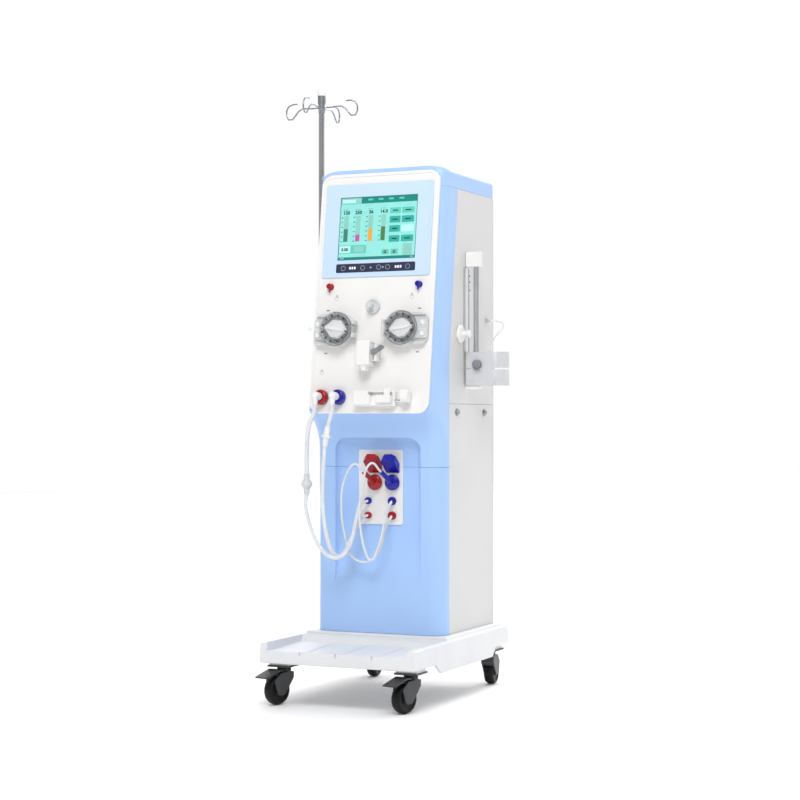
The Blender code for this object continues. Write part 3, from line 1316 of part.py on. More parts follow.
def make_pedal(name):
    """Brake pedal: a broad sloping plate hinged on top of the fork."""
    pivot = bpy.data.objects[f"caster_{name}_swivel"]
    barrel = 4 * MM
    hood_top = FORK_TOP_Z - 12.3 * MM
    hinge = Vector((0, -23 * MM, hood_top + barrel + GAP))
    tip_y, tip_z = -63 * MM, -15 * MM
    thick = 4 * MM
    outline = [(3 * MM, 3 * MM), (3 * MM, -1 * MM), (-14 * MM, -barrel * 0.1), (tip_y, tip_z),
               (tip_y - 1.5 * MM, tip_z + thick), (-14 * MM, thick + 1 * MM)]
    width = 40 * MM
    mesh = slab(round_corners(outline, [1 * MM, 1 * MM, 3 * MM, 1.5 * MM, 1.5 * MM, 6 * MM], 3),
                -width / 2, width / 2, "YZ")
    pedal = part(f"brake_pedal_{name}", mesh, "dark_grey", pivot, hinge)
    soften(pedal, 1 * MM, 1, radians(60))
    pin = rod(barrel, (-width * 0.3, 0, 0), (width * 0.3, 0, 0), 10)
    join(pedal, tool(f"pedal_barrel_{name}", pin, pivot, hinge))


def make_pole():
    """Sleeve with two wall brackets, sliding pole, and a head of four ram's-horn hooks."""
    inner = POLE_RADIUS + GAP
    collar, collar_height = SLEEVE_RADIUS + 3 * MM, 26 * MM
    profile = [(inner, SLEEVE_TOP_Z), (collar, SLEEVE_TOP_Z), (collar, SLEEVE_TOP_Z - collar_height),
               (SLEEVE_RADIUS, SLEEVE_TOP_Z - collar_height), (SLEEVE_RADIUS, SLEEVE_FOOT_Z),
               (inner, SLEEVE_FOOT_Z)]
    place = (POLE_X, POLE_Y, 0)
    sleeve = turned("pole_sleeve", profile, "steel", 18, None, place, closed=True)
    wall = -BODY_WIDTH / 2 - GAP - POLE_X
    bracket = 24 * MM
    hold = POLE_RADIUS + 1 * MM
    for index, z in enumerate((SLEEVE_FOOT_Z + bracket, SLEEVE_TOP_Z - 2 * bracket)):
        block = box_between((hold, -bracket / 2, z), (wall, bracket / 2, z + bracket))
        join(sleeve, soften(tool(f"pole_bracket_{index}", block, None, place), 1.5 * MM, 1))
    knob_z = SLEEVE_TOP_Z - 13 * MM
    stem = rod(4 * MM, (0, hold, knob_z), (0, SLEEVE_RADIUS + 12 * MM, knob_z), 10)
    knob = rod(10 * MM, (0, SLEEVE_RADIUS + 10 * MM, knob_z), (0, SLEEVE_RADIUS + 20 * MM, knob_z), 16)
    join(sleeve, tool("pole_knob_stem", stem, None, place))
    join(sleeve, tool("pole_knob", knob, None, place))

    part("pole_tube", rod(POLE_RADIUS, (0, 0, POLE_FOOT_Z), (0, 0, POLE_TOP_Z), 20), "chrome",
         None, place)
    make_hooks(place)


def make_hooks(place):
    """Hub with a cap, and four wire hooks at right angles."""
    foot = POLE_TOP_Z + GAP
    waist = foot + 26 * MM
    top = foot + 63 * MM
    cap = HOOK_HUB_RADIUS + 1 * MM
    profile = [(0, top), (cap * 0.75, top), (cap, top - 4 * MM), (cap, top - 16 * MM),
               (HOOK_HUB_RADIUS, top - 18 * MM), (HOOK_HUB_RADIUS, waist),
               (POLE_RADIUS + 1 * MM, waist - 2 * MM), (POLE_RADIUS + 1 * MM, foot), (0, foot)]
    head = turned("pole_hooks", profile, "chrome", 18, None, place)
    wire_z = foot + 14 * MM
    reach_shares = (0.05, 0.30, 0.55, 0.68, 0.80, 0.90, 0.98, 1.00, 0.96, 0.85, 0.68)
    rise_shares = (0.00, 0.00, 0.01, -0.07, -0.22, -0.26, -0.18, -0.05, 0.07, 0.13, 0.14)
    shape = [Vector((HOOK_REACH * out, 0, wire_z + HOOK_REACH * up))
             for out, up in zip(reach_shares, rise_shares)]
    for index in range(4):
        turn = Matrix.Rotation(pi / 2 * index, 4, "Z")
        path = smooth_route([turn @ point for point in shape], HOOK_WIRE * 6)
        join(head, tool(f"hook_{index}", wire(path, HOOK_WIRE, 2), None, place))


def make_holder():
    """Rail between two brackets, and the dialyser holder that slides on it."""
    wall = BODY_WIDTH / 2 + GAP
    depth = 22 * MM
    tip = RAIL_X + RAIL_RADIUS + 5.5 * MM
    top = box_between((wall, RAIL_Y - depth / 2, RAIL_TOP_Z),
                      (tip, RAIL_Y + depth / 2, RAIL_TOP_Z + 40 * MM))
    rail = soften(part("holder_rail", top, "grey"), 3 * MM, 2)
    foot_thick = 9 * MM
    foot = box_between((wall, RAIL_Y - depth / 2, RAIL_FOOT_Z - foot_thick),
                       (tip, RAIL_Y + depth / 2, RAIL_FOOT_Z))
    bar = rod(RAIL_RADIUS, (RAIL_X, RAIL_Y, RAIL_FOOT_Z - foot_thick / 2),
              (RAIL_X, RAIL_Y, RAIL_TOP_Z + foot_thick), 20)
    join(rail, tool("rail_foot", foot))
    join(rail, tool("rail_bar", bar))
    make_clip(wall)


def make_clip(wall):
    """Two stacked bands, joined in their middle: rail block on the left, open ring on the right."""
    low = RAIL_FOOT_Z + GAP
    high = low + HOLDER_HEIGHT
    front = HOLDER_RING_Y - HOLDER_RING_RADIUS
    block_rear = RAIL_Y + 14 * MM
    left = wall + 2 * MM
    ring = (HOLDER_RING_X, HOLDER_RING_Y)
    join_angle = pi - asin((block_rear - HOLDER_RING_Y) / HOLDER_RING_RADIUS)
    mouth = radians(42)
    outer = arc(ring, HOLDER_RING_RADIUS, -pi / 2, pi / 2 - mouth, 10)
    inner = arc(ring, HOLDER_RING_RADIUS - HOLDER_WALL, pi / 2 - mouth, -3 * pi / 2 + mouth, 18)
    back = arc(ring, HOLDER_RING_RADIUS, pi / 2 + mouth, join_angle, 3)
    outline = [(left, front), *outer, *inner, *back, (left, block_rear)]
    slot = 4 * MM
    clip = part("dialyser_holder", slab(outline, low, high), "white")
    bore = rod(RAIL_RADIUS + GAP, (RAIL_X, RAIL_Y, low - OVERRUN), (RAIL_X, RAIL_Y, high + OVERRUN), 20)
    cut(clip, tool("rail_bore", bore))
    slot_z = (low + high) / 2
    far = HOLDER_RING_RADIUS + OVERRUN
    for index, (start, end) in enumerate(((left - OVERRUN, 234 * MM), (266 * MM, HOLDER_RING_X + far))):
        gap = box_between((start, front - OVERRUN, slot_z - slot / 2),
                          (end, HOLDER_RING_Y + far, slot_z + slot / 2))
        cut(clip, tool(f"band_slit_{index}", gap))

    knob_place = (222 * MM, front - GAP, slot_z + 11 * MM)
    profile = [(0, 11 * MM), (KNOB_RADIUS * 0.85, 11 * MM), (KNOB_RADIUS, 9 * MM),
               (KNOB_RADIUS, 3 * MM), (KNOB_RADIUS * 0.6, 0), (0, 0)]
    turned("holder_knob", profile, "grey", 16, None, knob_place, FACE_OUT)


def make_side_fittings():
    """Line hook on the right side, and the short sensor lead between two sockets."""
    wall = BODY_WIDTH / 2 + GAP
    disc, peg = 24 * MM, 6 * MM
    thick = 8 * MM
    reach = 30 * MM
    profile = [(0, reach), (peg * 1.5, reach), (peg * 1.7, reach - 2 * MM),
               (peg * 1.7, reach - 6 * MM), (peg, reach - 8 * MM), (peg, thick + 2 * MM),
               (disc * 0.6, thick), (disc * 0.85, thick), (disc, thick * 0.5), (disc, 0), (0, 0)]
    turned("line_hook", profile, "white", 20, None, (wall, LATCH_Y, LATCH_Z), FACE_RIGHT)

    start = Vector((BODY_WIDTH / 2 + SOCKET_REACH, SOCKET_Y[0], SOCKET_Z[0]))
    end = Vector((BODY_WIDTH / 2 + SOCKET_REACH, SOCKET_Y[1], SOCKET_Z[1]))
    out = Vector((1, 0, 0))
    spans = [[start + out * GAP],
             [start + out * LEAD_RADIUS * 3, (0.214, 0.311, 0.994), (0.228, 0.318, 0.987),
              (0.226, 0.317, 0.975), (0.212, 0.303, 0.953), (0.206, 0.288, 0.928),
              (0.205, 0.277, 0.900), (0.204, 0.272, 0.880), end + out * LEAD_RADIUS * 3],
             [end + out * GAP]]
    hose("sensor_lead", spans, LEAD_RADIUS)


def build():
    make_base()
    for name, x, y, turn in caster_places():
        make_caster(name, x, y, turn)
    for name in ("front_left", "front_right"):
        make_pedal(name)
    make_cabinet()
    make_covers()
    make_front_panel()
    make_pump("left", -1)
    make_pump("right", 1)
    make_small_ports()
    make_detector()
    make_syringe_pump()
    make_couplings()
    make_connector_plate()
    make_wands_and_lids()
    make_supply_hose()
    make_return_hose()
    make_wand_hoses()
    make_pole()
    make_holder()
    make_side_fittings()


build()
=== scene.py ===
import json
from math import asin, cos, pi, radians, sin, tan

import bmesh
import bpy
from mathutils import Matrix, Vector
from mathutils.geometry import interpolate_bezier


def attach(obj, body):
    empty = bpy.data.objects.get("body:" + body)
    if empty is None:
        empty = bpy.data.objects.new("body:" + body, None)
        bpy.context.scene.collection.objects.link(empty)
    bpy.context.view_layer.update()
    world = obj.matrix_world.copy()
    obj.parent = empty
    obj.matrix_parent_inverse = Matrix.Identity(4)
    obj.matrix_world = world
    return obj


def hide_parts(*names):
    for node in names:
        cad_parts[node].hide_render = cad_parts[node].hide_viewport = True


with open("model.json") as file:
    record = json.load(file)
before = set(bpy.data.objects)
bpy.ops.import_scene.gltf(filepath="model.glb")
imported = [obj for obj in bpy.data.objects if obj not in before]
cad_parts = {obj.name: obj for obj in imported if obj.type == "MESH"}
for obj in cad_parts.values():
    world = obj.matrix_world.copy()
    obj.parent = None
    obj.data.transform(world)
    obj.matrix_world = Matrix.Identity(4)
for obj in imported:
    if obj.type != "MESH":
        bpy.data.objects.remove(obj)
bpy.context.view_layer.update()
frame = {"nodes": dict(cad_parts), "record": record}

# Forms and finishes are in millimetres; the origin, the camera and the studio are in metres
MM = 0.001
ORIGIN = Vector((0.010, -0.0646, 0))
LEAN = radians(7.4)
GAP = 0.3  # clearance between pieces
OVER = 4  # how far a cutting form reaches past the piece
EDGE = 0.8  # softened edge of covers and frames

# Cabinet, from the column's front face and the floor
BODY_WIDTH = 370
BODY_REAR = 355
COLUMN_FOOT = 168
COLUMN_CORNER = 42
HEAD_CORNER = 30
COVER_SEAM = 602
CAP_SEAM = 1333
CAP_TOP = 1388
CAP_CROWN = 22
SIDE_FRONT = 45
SIDE_BEND = 885
UNDERCUT_FOOT = 655
UNDERCUT_TOP = 748

# Leaning front panel and what is on it, measured up its face from its foot
PANEL_FOOT = Vector((0, -60.5, 742))
PANEL_WIDTH = 341
PANEL_HEIGHT = 639
PANEL_CORNER = 31
PANEL_RIM = 8
HEAD_SETBACK = 6.3
# width, foot and height, and how far the face stands out of the panel
BEZEL, BEZEL_FACE = (311, 360, 250), 3.5
LCD, LCD_FACE = (223, 406, 169), 2.5
KEYS, KEYS_FACE = (228, 372.5, 23.5), 4.1
INK = 0.12
PRINTED = 0.02
PORT_HEIGHT = 281
PUMP_SPACING = 186
PUMP_MIDDLE = 219
RING_RADIUS = 44.5
WELL_RADIUS = 39
HINGE_OFFSET = 50
HINGE_STANDOFF = 29
TAB_REACH = 76

# Niche, connector plate and its fittings
NICHE_WIDTH = 246
NICHE_TOP = 679
NICHE_FOOT = 298
NICHE_BEND = 436
NICHE_DEPTH = 22.5
PLATE_FACE = NICHE_DEPTH - GAP - 3
WAND_X = (-14.5, 36)
WAND_Z = 561.5
LID_HINGE = 588
NOZZLE_X = (-34.5, 34.5)
NOZZLE_Z = (513, 475)
NOZZLE_LENGTH = 17

# Hoses, their in-line joints, and the fittings on the sides
HOSE_RADIUS = 5.5
THIN_HOSE_RADIUS = 3
LEAD_RADIUS = 2.5
JOINT_REACH = 26
RAIL_FOOT = 818
RAIL_TOP = 1129
SCREW_PLACES = ((95, 745), (285, 745))

MACHINE = Matrix.Translation(ORIGIN) @ Matrix.Scale(MM, 4)
PANEL = MACHINE @ Matrix.Translation(PANEL_FOOT) @ Matrix.Rotation(-LEAN, 4, "X")
OUT_OF_PANEL = Matrix.Rotation(radians(90), 4, "X")
IN_PLACE = Matrix.Identity(4)

bodies = frame["record"]["behaviour"]["bodies"]
BODY_OF = {node: body for body, nodes in bodies.items() for node in nodes}


def link(name, data):
    made = bpy.data.objects.new(name, data)
    bpy.context.scene.collection.objects.link(made)
    return made


# ---- Camera

def set_camera():
    """The photograph's view: from the front and the machine's right, at mid height."""
    yaw, pitch, focal_px, frame_px, sensor = 0.429, 0.0102, 1842.8, 800, 36
    forward = Vector((-sin(yaw) * cos(pitch), cos(yaw) * cos(pitch), sin(pitch)))
    right = Vector((cos(yaw), sin(yaw), 0))
    up = right.cross(forward)
    camera = link("camera", bpy.data.cameras.new("camera"))
    place = Matrix((right, up, -forward)).transposed().to_4x4()
    place.translation = Vector((2.0581, -4.3584, 0.7281)) + ORIGIN
    camera.matrix_world = place
    camera.data.sensor_width = sensor
    camera.data.lens = focal_px * sensor / frame_px
    camera.data.clip_end = 60
    bpy.context.scene.camera = camera


# ---- Finishes

def linear(code, alpha=1.0):
    """An sRGB hex colour as the linear values that shaders use."""
    values = [int(code[index:index + 2], 16) / 255 for index in (1, 3, 5)]
    return (*[v / 12.92 if v <= 0.04045 else ((v + 0.055) / 1.055) ** 2.4 for v in values], alpha)


def add(tree, kind, inputs=None, **settings):
    """Adds one node with its settings, values and links."""
    made = tree.nodes.new(kind)
    for name, value in settings.items():
        setattr(made, name, value)
    for name, value in (inputs or {}).items():
        if isinstance(value, bpy.types.NodeSocket):
            tree.links.new(value, made.inputs[name])
        else:
            made.inputs[name].default_value = value
    return made


def finish(name, colour, second, roughness, grain, relief, patch, stretch=(1, 1, 1), **shader):
    """A surface whose colour drifts slightly between two tones, with fine grain in its relief.

    Grain, relief and patch are real sizes; roughness is a range; shader sets single sockets."""
    material = bpy.data.materials.new(name)
    material.use_nodes = True
    tree = material.node_tree
    tree.nodes.clear()
    place = add(tree, "ShaderNodeTexCoord").outputs["Object"]
    along = add(tree, "ShaderNodeMapping", {"Vector": place, "Scale": stretch}).outputs["Vector"]
    drift = add(tree, "ShaderNodeTexNoise", {"Vector": place, "Scale": 1 / (patch * MM),
                                             "Detail": 3.0})
    tone = add(tree, "ShaderNodeValToRGB", {"Fac": drift.outputs["Fac"]})
    for stop, share, code in zip(tone.color_ramp.elements, (0.3, 0.75), (colour, second)):
        stop.position, stop.color = share, linear(code)
    fine = add(tree, "ShaderNodeTexNoise", {"Vector": along, "Scale": 1 / (grain * MM),
                                            "Detail": 4.0})
    gloss = add(tree, "ShaderNodeMapRange", {"Value": fine.outputs["Fac"], "To Min": roughness[0],
                                             "To Max": roughness[1]})
    bump = add(tree, "ShaderNodeBump", {"Height": fine.outputs["Fac"], "Distance": relief * MM,
                                        "Strength": 0.6})
    sockets = {"Base Color": tone.outputs["Color"], "Roughness": gloss.outputs["Result"],
               "Normal": bump.outputs["Normal"], **shader}
    surface = add(tree, "ShaderNodeBsdfPrincipled", sockets)
    add(tree, "ShaderNodeOutputMaterial", {"Surface": surface.outputs["BSDF"]})
    return material


# Thermoformed ABS sheet with a fine satin grain: broad soft highlights, slightly waxy
blue_abs = finish("pale_blue_satin_ABS", "#A9CAF8", "#A5C7F6", (0.34, 0.46), 1.6, 0.05,
                  160, IOR=1.52)
# Powder coat on steel sheet: orange peel of about 2 mm, drawn a little coarser so that it shows
white_coat = finish("white_powder_coat", "#D6D6D6", "#D1D1D1", (0.40, 0.52), 2.6, 0.06,
                    220, IOR=1.5)
# Injection-moulded ABS, lightly eroded mould: even, soft white
white_abs = finish("white_moulded_ABS", "#EDECEA", "#E9E8E6", (0.36, 0.46), 1.2, 0.03,
                   90, IOR=1.52)
# Structural foam of the base: same white, coarser skin with faint flow marks
base_abs = finish("white_structural_foam", "#E6E7E9", "#DFE0E3", (0.42, 0.55), 3.2, 0.08,
                  120, IOR=1.5)
# Polyester film laminated on the display frame: flat pale blue with a faint texture
bezel_film = finish("pale_blue_polyester_film", "#C6DDF6", "#C1D9F3", (0.30, 0.38), 0.9,
                    0.015, 120, IOR=1.58)
# Membrane keypad: dark navy printed film, softly glossy
navy_film = finish("navy_membrane_film", "#2A3050", "#232944", (0.24, 0.34), 1.0, 0.02,
                   40, IOR=1.58)
# Glass-filled nylon of the pump blocks: light warm grey, dull
grey_nylon = finish("light_grey_nylon", "#D3D5D6", "#C8CACB", (0.38, 0.5), 0.9, 0.03, 30, IOR=1.53)
# Acetal of rotors and knobs: dense white with a low sheen
acetal = finish("white_acetal", "#F0F1F0", "#E7E8E8", (0.28, 0.36), 1.4, 0.02, 30, IOR=1.48)
# ABS of the dialyser holder: the same moulding in a pale grey
holder_abs = finish("pale_grey_ABS", "#D2D3D4", "#C8C9CB", (0.36, 0.48), 1.2, 0.03, 60, IOR=1.52)
# Darker moulded grey for knobs and the clamp lever
grey_abs = finish("mid_grey_ABS", "#85888B", "#787B7F", (0.38, 0.5), 1.0, 0.03, 30, IOR=1.52)
# Nylon of the caster forks and pedals: charcoal, with the fibres dulling it in patches; it also
# paints the shade on the tray's caster seats
charcoal_nylon_and_seat_shade = finish("charcoal_nylon_and_seat_shade", "#3B3C3F", "#2E2F31", (0.34, 0.5), 0.9, 0.05,
                        18, IOR=1.53)
# Polyurethane tread: nearly black, scuffed paler here and there by the floor; it also paints the
# shade in the rail strip's holes
tread_rubber_and_hole_shade = finish("black_polyurethane_and_hole_shade", "#0B0B0C", "#141415", (0.35, 0.6), 1.4, 0.08,
                      14, IOR=1.5, **{"Specular IOR Level": 0.25})
# Coloured polypropylene couplings, polished mould: clear gloss and full colour
red_pp = finish("red_polypropylene", "#A81014", "#960C10", (0.22, 0.32), 2.0, 0.03, 20, IOR=1.49)
blue_pp = finish("blue_polypropylene", "#1212A0", "#0E0E8C", (0.22, 0.32), 2.0, 0.03, 20, IOR=1.49)
# Polished stainless tube: drawn lengthways, so its fine lines run up the pole
stainless = finish("polished_stainless", "#E2E3E5", "#D4D5D8", (0.16, 0.24), 6, 0.004,
                   60, stretch=(1, 1, 0.02), Metallic=1.0)
# Satin anodised aluminium sleeve and rail bar, brushed along its length
anodised = finish("satin_anodised_aluminium", "#DCDDDF", "#CED0D3", (0.28, 0.42), 3,
                  0.01, 50, stretch=(1, 1, 0.03), Metallic=1.0)
# Zinc-plated screws and the bare steel frame
zinc_steel = finish("zinc_plated_steel", "#A9ACB0", "#9A9DA2", (0.3, 0.45), 1.2, 0.02,
                    12, Metallic=1.0)
# Silicone hose: milky and slightly see-through, soft sheen
silicone = finish("milky_silicone", "#F3F5F7", "#E6EAEE", (0.26, 0.36), 2.2, 0.03,
                  40, IOR=1.41, **{"Transmission Weight": 0.22, "Coat Weight": 0.3})
# Clear polycarbonate of the pump doors
clear_pc = finish("clear_polycarbonate", "#FAFBFC", "#F4F7F8", (0.03, 0.07), 3.0, 0.01,
                  60, IOR=1.58, **{"Transmission Weight": 0.9, "Alpha": 0.3})
# Inks of the printed marks, matt; the dark ink also paints the shade in the grooves of the rail
# strip
dark_ink_and_groove_shade = finish("dark_printed_ink_and_groove_shade", "#4C5056", "#44484E", (0.5, 0.6), 1.0, 0.01, 20)
pale_ink = finish("pale_grey_ink", "#B9BCC0", "#B1B4B8", (0.5, 0.6), 1.0, 0.01, 20)
white_ink = finish("white_printed_ink", "#F4F5F8", "#ECEDF0", (0.4, 0.5), 1.0, 0.01, 20)


def lit(name, colour, glow):
    """A lit field of the display under its cover glass: glossy, a little dimmer in patches."""
    pairs = [int(colour[index:index + 2], 16) for index in (1, 3, 5)]
    dimmer = "#" + "".join(f"{int(pair * 0.94):02X}" for pair in pairs)
    return finish(name, colour, dimmer, (0.12, 0.2), 0.6, 0.004, 30, IOR=1.5,
                  **{"Emission Color": linear(colour), "Emission Strength": glow})


lcd_mint = lit("display_mint", "#86CFC8", 0.3)
lcd_pale = lit("display_pale_mint", "#A8E0DA", 0.34)
lcd_teal = lit("display_teal", "#2C9C90", 0.35)
lcd_deep = lit("display_deep_teal", "#147A72", 0.35)
lcd_tile = lit("display_tile_teal", "#55B5A6", 0.35)
lcd_column = lit("display_column_grey", "#7DB8AC", 0.35)
lcd_dark = lit("display_dark", "#0C2224", 0.1)
lcd_moss = lit("display_grey_green", "#3D7468", 0.25)
lcd_pink = lit("display_pink", "#B8509A", 0.3)
lcd_orange = lit("display_orange", "#D89A3A", 0.3)
lcd_green = lit("display_green", "#41784A", 0.3)


# ---- Forms

def new_object(name, mesh, place=MACHINE):
    """A piece from a mesh in millimetres, or from one that is already in place."""
    mesh.transform(place)
    return link(name, mesh)


def mesh_of(bm):
    bmesh.ops.recalc_face_normals(bm, faces=bm.faces)
    mesh = bpy.data.meshes.new("form")
    bm.to_mesh(mesh)
    bm.free()
    return mesh


def work(obj, kind, **settings):
    """Applies one modifier to a piece's mesh."""
    step = obj.modifiers.new("step", kind)
    for name, value in settings.items():
        setattr(step, name, value)
    graph = bpy.context.evaluated_depsgraph_get()
    mesh = bpy.data.meshes.new_from_object(obj.evaluated_get(graph))
    obj.modifiers.clear()
    obj.data = mesh
    return obj


def soften(obj, width, segments=3, angle=35):
    return work(obj, "BEVEL", width=width * MM, segments=segments, limit_method="ANGLE",
                angle_limit=radians(angle), use_clamp_overlap=True)


def combine(obj, mesh, place, operation):
    other = new_object("tool", mesh, place)
    work(obj, "BOOLEAN", object=other, operation=operation, solver="EXACT")
    bpy.data.objects.remove(other)
    return obj


def cut(obj, mesh, place=MACHINE):
    return combine(obj, mesh, place, "DIFFERENCE")


def join(obj, mesh, place):
    return combine(obj, mesh, place, "UNION")


def join_soft(obj, mesh, place, width, segments=3):
    """Joins a form whose own edges are softened first."""
    form = soften(new_object("form", mesh, place), width, segments)
    join(obj, form.data, IN_PLACE)
    bpy.data.objects.remove(form)


def smooth(obj, angle):
    """Rounds the look of curved faces and keeps edges crisp, with flat faces truly flat."""
    mesh = obj.data
    mesh.polygons.foreach_set("use_smooth", [True] * len(mesh.polygons))
    mesh.set_sharp_from_angle(angle=radians(angle))
    return work(obj, "WEIGHTED_NORMAL", keep_sharp=True, weight=60)


def dress(obj, material, node=None, angle=35, body="machine"):
    """Gives a piece its finish and the body of the CAD node that it stands for, and hides that
    node; without a node it goes on the named body.
    """
    obj.data.materials.clear()
    obj.data.materials.append(material)
    return settle(obj, node, angle, body)


def settle(obj, node, angle, body=None):
    """Smooths a piece and puts it on its node's body, or on the named one."""
    smooth(obj, angle)
    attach(obj, BODY_OF[node] if node else body)
    if node:
        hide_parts(node)
    return obj


def redress(node, *materials, angle=35, choose=None):
    """A CAD node's own form, smoothed and finished; choose picks a face's finish."""
    bm = bmesh.new()
    bm.from_mesh(frame["nodes"][node].data)
    bmesh.ops.remove_doubles(bm, verts=bm.verts, dist=0.02 * MM)
    mesh = bpy.data.meshes.new(node)
    bm.to_mesh(mesh)
    bm.free()
    mesh.materials.clear()
    for material in materials:
        mesh.materials.append(material)
    mesh.polygons.foreach_set("material_index", [
        choose((face.center - ORIGIN) / MM) if choose else 0 for face in mesh.polygons])
    settle(new_object(f"{node}_finished", mesh, IN_PLACE), node, angle)


def facing(direction, axis="Z"):
    return direction.to_track_quat(axis, "Y").to_matrix().to_4x4()


def rod(radius, start, end, segments):
    start, end = Vector(start), Vector(end)
    bm = bmesh.new()
    place = Matrix.Translation((start + end) / 2) @ facing(end - start)
    bmesh.ops.create_cone(bm, cap_ends=True, segments=segments, radius1=radius, radius2=radius,
                          depth=(end - start).length, matrix=place)
    return mesh_of(bm)


# Turns of a prism's outline and height: out of the front, and along the machine's width
OUTWARD = Matrix(((1, 0, 0, 0), (0, 0, -1, 0), (0, 1, 0, 0), (0, 0, 0, 1)))
SIDEWAYS = Matrix(((0, 0, 1, 0), (1, 0, 0, 0), (0, 1, 0, 0), (0, 0, 0, 1)))


def loft(rings):
    bm = bmesh.new()
    layers = [[bm.verts.new(point) for point in ring] for ring in rings]
    count = len(rings[0])
    for lower, upper in zip(layers, layers[1:]):
        for index in range(count):
            after = (index + 1) % count
            bm.faces.new((lower[index], lower[after], upper[after], upper[index]))
    bm.faces.new(list(reversed(layers[0])))
    bm.faces.new(layers[-1])
    return mesh_of(bm)


def prism(outline, low, high, turn=IN_PLACE):
    """A flat outline made solid from low to high."""
    mesh = loft([[(u, v, height) for u, v in outline] for height in (low, high)])
    mesh.transform(turn)
    return mesh


def plate(outline, back, front):
    """A flat outline in X and Z that stands out towards the front."""
    return prism(outline, back, front, OUTWARD)


def block(low, high):
    outline = [(low[0], low[1]), (high[0], low[1]), (high[0], high[1]), (low[0], high[1])]
    return prism(outline, low[2], high[2])


def turned(profile, steps=40, closed=False):
    """A form turned about its own Z from radius and height."""
    bm = bmesh.new()
    rings = []
    for radius, height in profile:
        if radius <= 0:
            rings.append([bm.verts.new((0, 0, height))])
            continue
        rings.append([bm.verts.new((radius * cos(2 * pi * step / steps),
                                    radius * sin(2 * pi * step / steps), height))
                      for step in range(steps)])
    pairs = list(zip(rings, rings[1:])) + ([(rings[-1], rings[0])] if closed else [])
    for first, second in pairs:
        for index in range(steps):
            after = (index + 1) % steps
            corners = [first[index % len(first)], first[after % len(first)],
                       second[after % len(second)], second[index % len(second)]]
            unique = list(dict.fromkeys(corners))
            if len(unique) > 2:
                bm.faces.new(unique)
    return mesh_of(bm)


def arc(centre, radius, start, end, segments):
    turns = [start + (end - start) * step / segments for step in range(segments + 1)]
    return [(centre[0] + radius * cos(turn), centre[1] + radius * sin(turn)) for turn in turns]


def round_corners(corners, radius, segments=8):
    radii = radius if isinstance(radius, (list, tuple)) else [radius] * len(corners)
    points = []
    for index, (corner, size) in enumerate(zip(corners, radii)):
        here = Vector(corner)
        before = Vector(corners[index - 1]) - here
        after = Vector(corners[(index + 1) % len(corners)]) - here
        if size <= 0:
            points.append(tuple(here))
            continue
        half = before.angle(after) / 2
        reach = size / tan(half)
        middle = here + (before.normalized() + after.normalized()).normalized() * size / sin(half)
        start = here + before.normalized() * reach - middle
        turn = start.angle_signed(here + after.normalized() * reach - middle)
        for step in range(segments + 1):
            angle = -turn * step / segments
            points.append((middle.x + start.x * cos(angle) - start.y * sin(angle),
                           middle.y + start.x * sin(angle) + start.y * cos(angle)))
    return points


def field(width, height, radius, middle=0.0, foot=0.0, segments=8):
    half = width / 2
    corners = [(middle - half, foot), (middle + half, foot), (middle + half, foot + height),
               (middle - half, foot + height)]
    return round_corners(corners, radius, segments) if radius else corners


# ---- Hoses and the lead, on the routes of the CAD model

def smooth_route(points, spacing, before, after):
    """Evenly spaced points on a smooth curve through a route's own points."""
    places = [Vector(point) for point in points]
    before = 2 * places[0] - places[1] if before is None else Vector(before)
    after = 2 * places[-1] - places[-2] if after is None else Vector(after)
    padded = [before, *places, after]
    dense = []
    for previous, start, end, following in zip(padded, padded[1:], padded[2:], padded[3:]):
        pull = (end - start).length / 3
        first = start + (end - previous).normalized() * pull
        second = end - (following - start).normalized() * pull
        dense += interpolate_bezier(start, first, second, end, 16)[:-1]
    dense.append(places[-1])
    total = sum((b - a).length for a, b in zip(dense, dense[1:]))
    count = max(2, round(total / spacing))
    result, travelled, index = [dense[0]], 0.0, 0
    for goal in (total * step / count for step in range(1, count)):
        while travelled + (dense[index + 1] - dense[index]).length < goal:
            travelled += (dense[index + 1] - dense[index]).length
            index += 1
        step = dense[index + 1] - dense[index]
        result.append(dense[index] + step * ((goal - travelled) / step.length))
    return [*result, dense[-1]]


def joined_route(spans, spacing):
    result = []
    for index, span in enumerate(spans):
        if len(span) == 1:
            result.append(Vector(span[0]))
            continue
        before = spans[index - 1][-1] if index else None
        after = spans[index + 1][0] if index + 1 < len(spans) else None
        result += smooth_route(span, spacing, before, after)
    return result


def panel_point(x, standoff, height):
    return Vector((x, PANEL_FOOT.y + height * sin(LEAN) - standoff * cos(LEAN),
                   PANEL_FOOT.z + height * cos(LEAN) + standoff * sin(LEAN)))


def port_run(column, row):
    """The last straight run of a hose onto a nozzle of the connector plate."""
    direction = Vector(((-0.30, -0.93, -0.20), (-0.12, -0.75, -0.65))[column]).normalized()
    root = Vector((NOZZLE_X[column], PLATE_FACE - 4, NOZZLE_Z[row]))
    end = root + direction * NOZZLE_LENGTH + direction * GAP
    return end + direction * HOSE_RADIUS * 2, end


ARM = Vector((-0.40, -0.62, 0.67)).normalized()


def wand_tip(x):
    return Vector((x - 9, PLATE_FACE - 55, WAND_Z + 29))


def lay_hose(name, node, spans, radius):
    """One hose as a swept tube on its route."""
    points = [point * MM + ORIGIN for point in joined_route(spans, radius * 2)]
    curve = bpy.data.curves.new(name, "CURVE")
    curve.dimensions = "3D"
    curve.bevel_depth = radius * MM
    curve.bevel_resolution = 5
    curve.use_fill_caps = True
    spline = curve.splines.new("POLY")
    spline.points.add(len(points) - 1)
    for point, place in zip(spline.points, points):
        point.co = (*place, 1)
    spline.use_smooth = True
    curve.materials.append(silicone)
    hose = link(name, curve)
    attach(hose, BODY_OF[node])
    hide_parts(node)


def joint_ends(seat, axis):
    reach = axis * (JOINT_REACH + GAP)
    return seat + reach, seat - reach


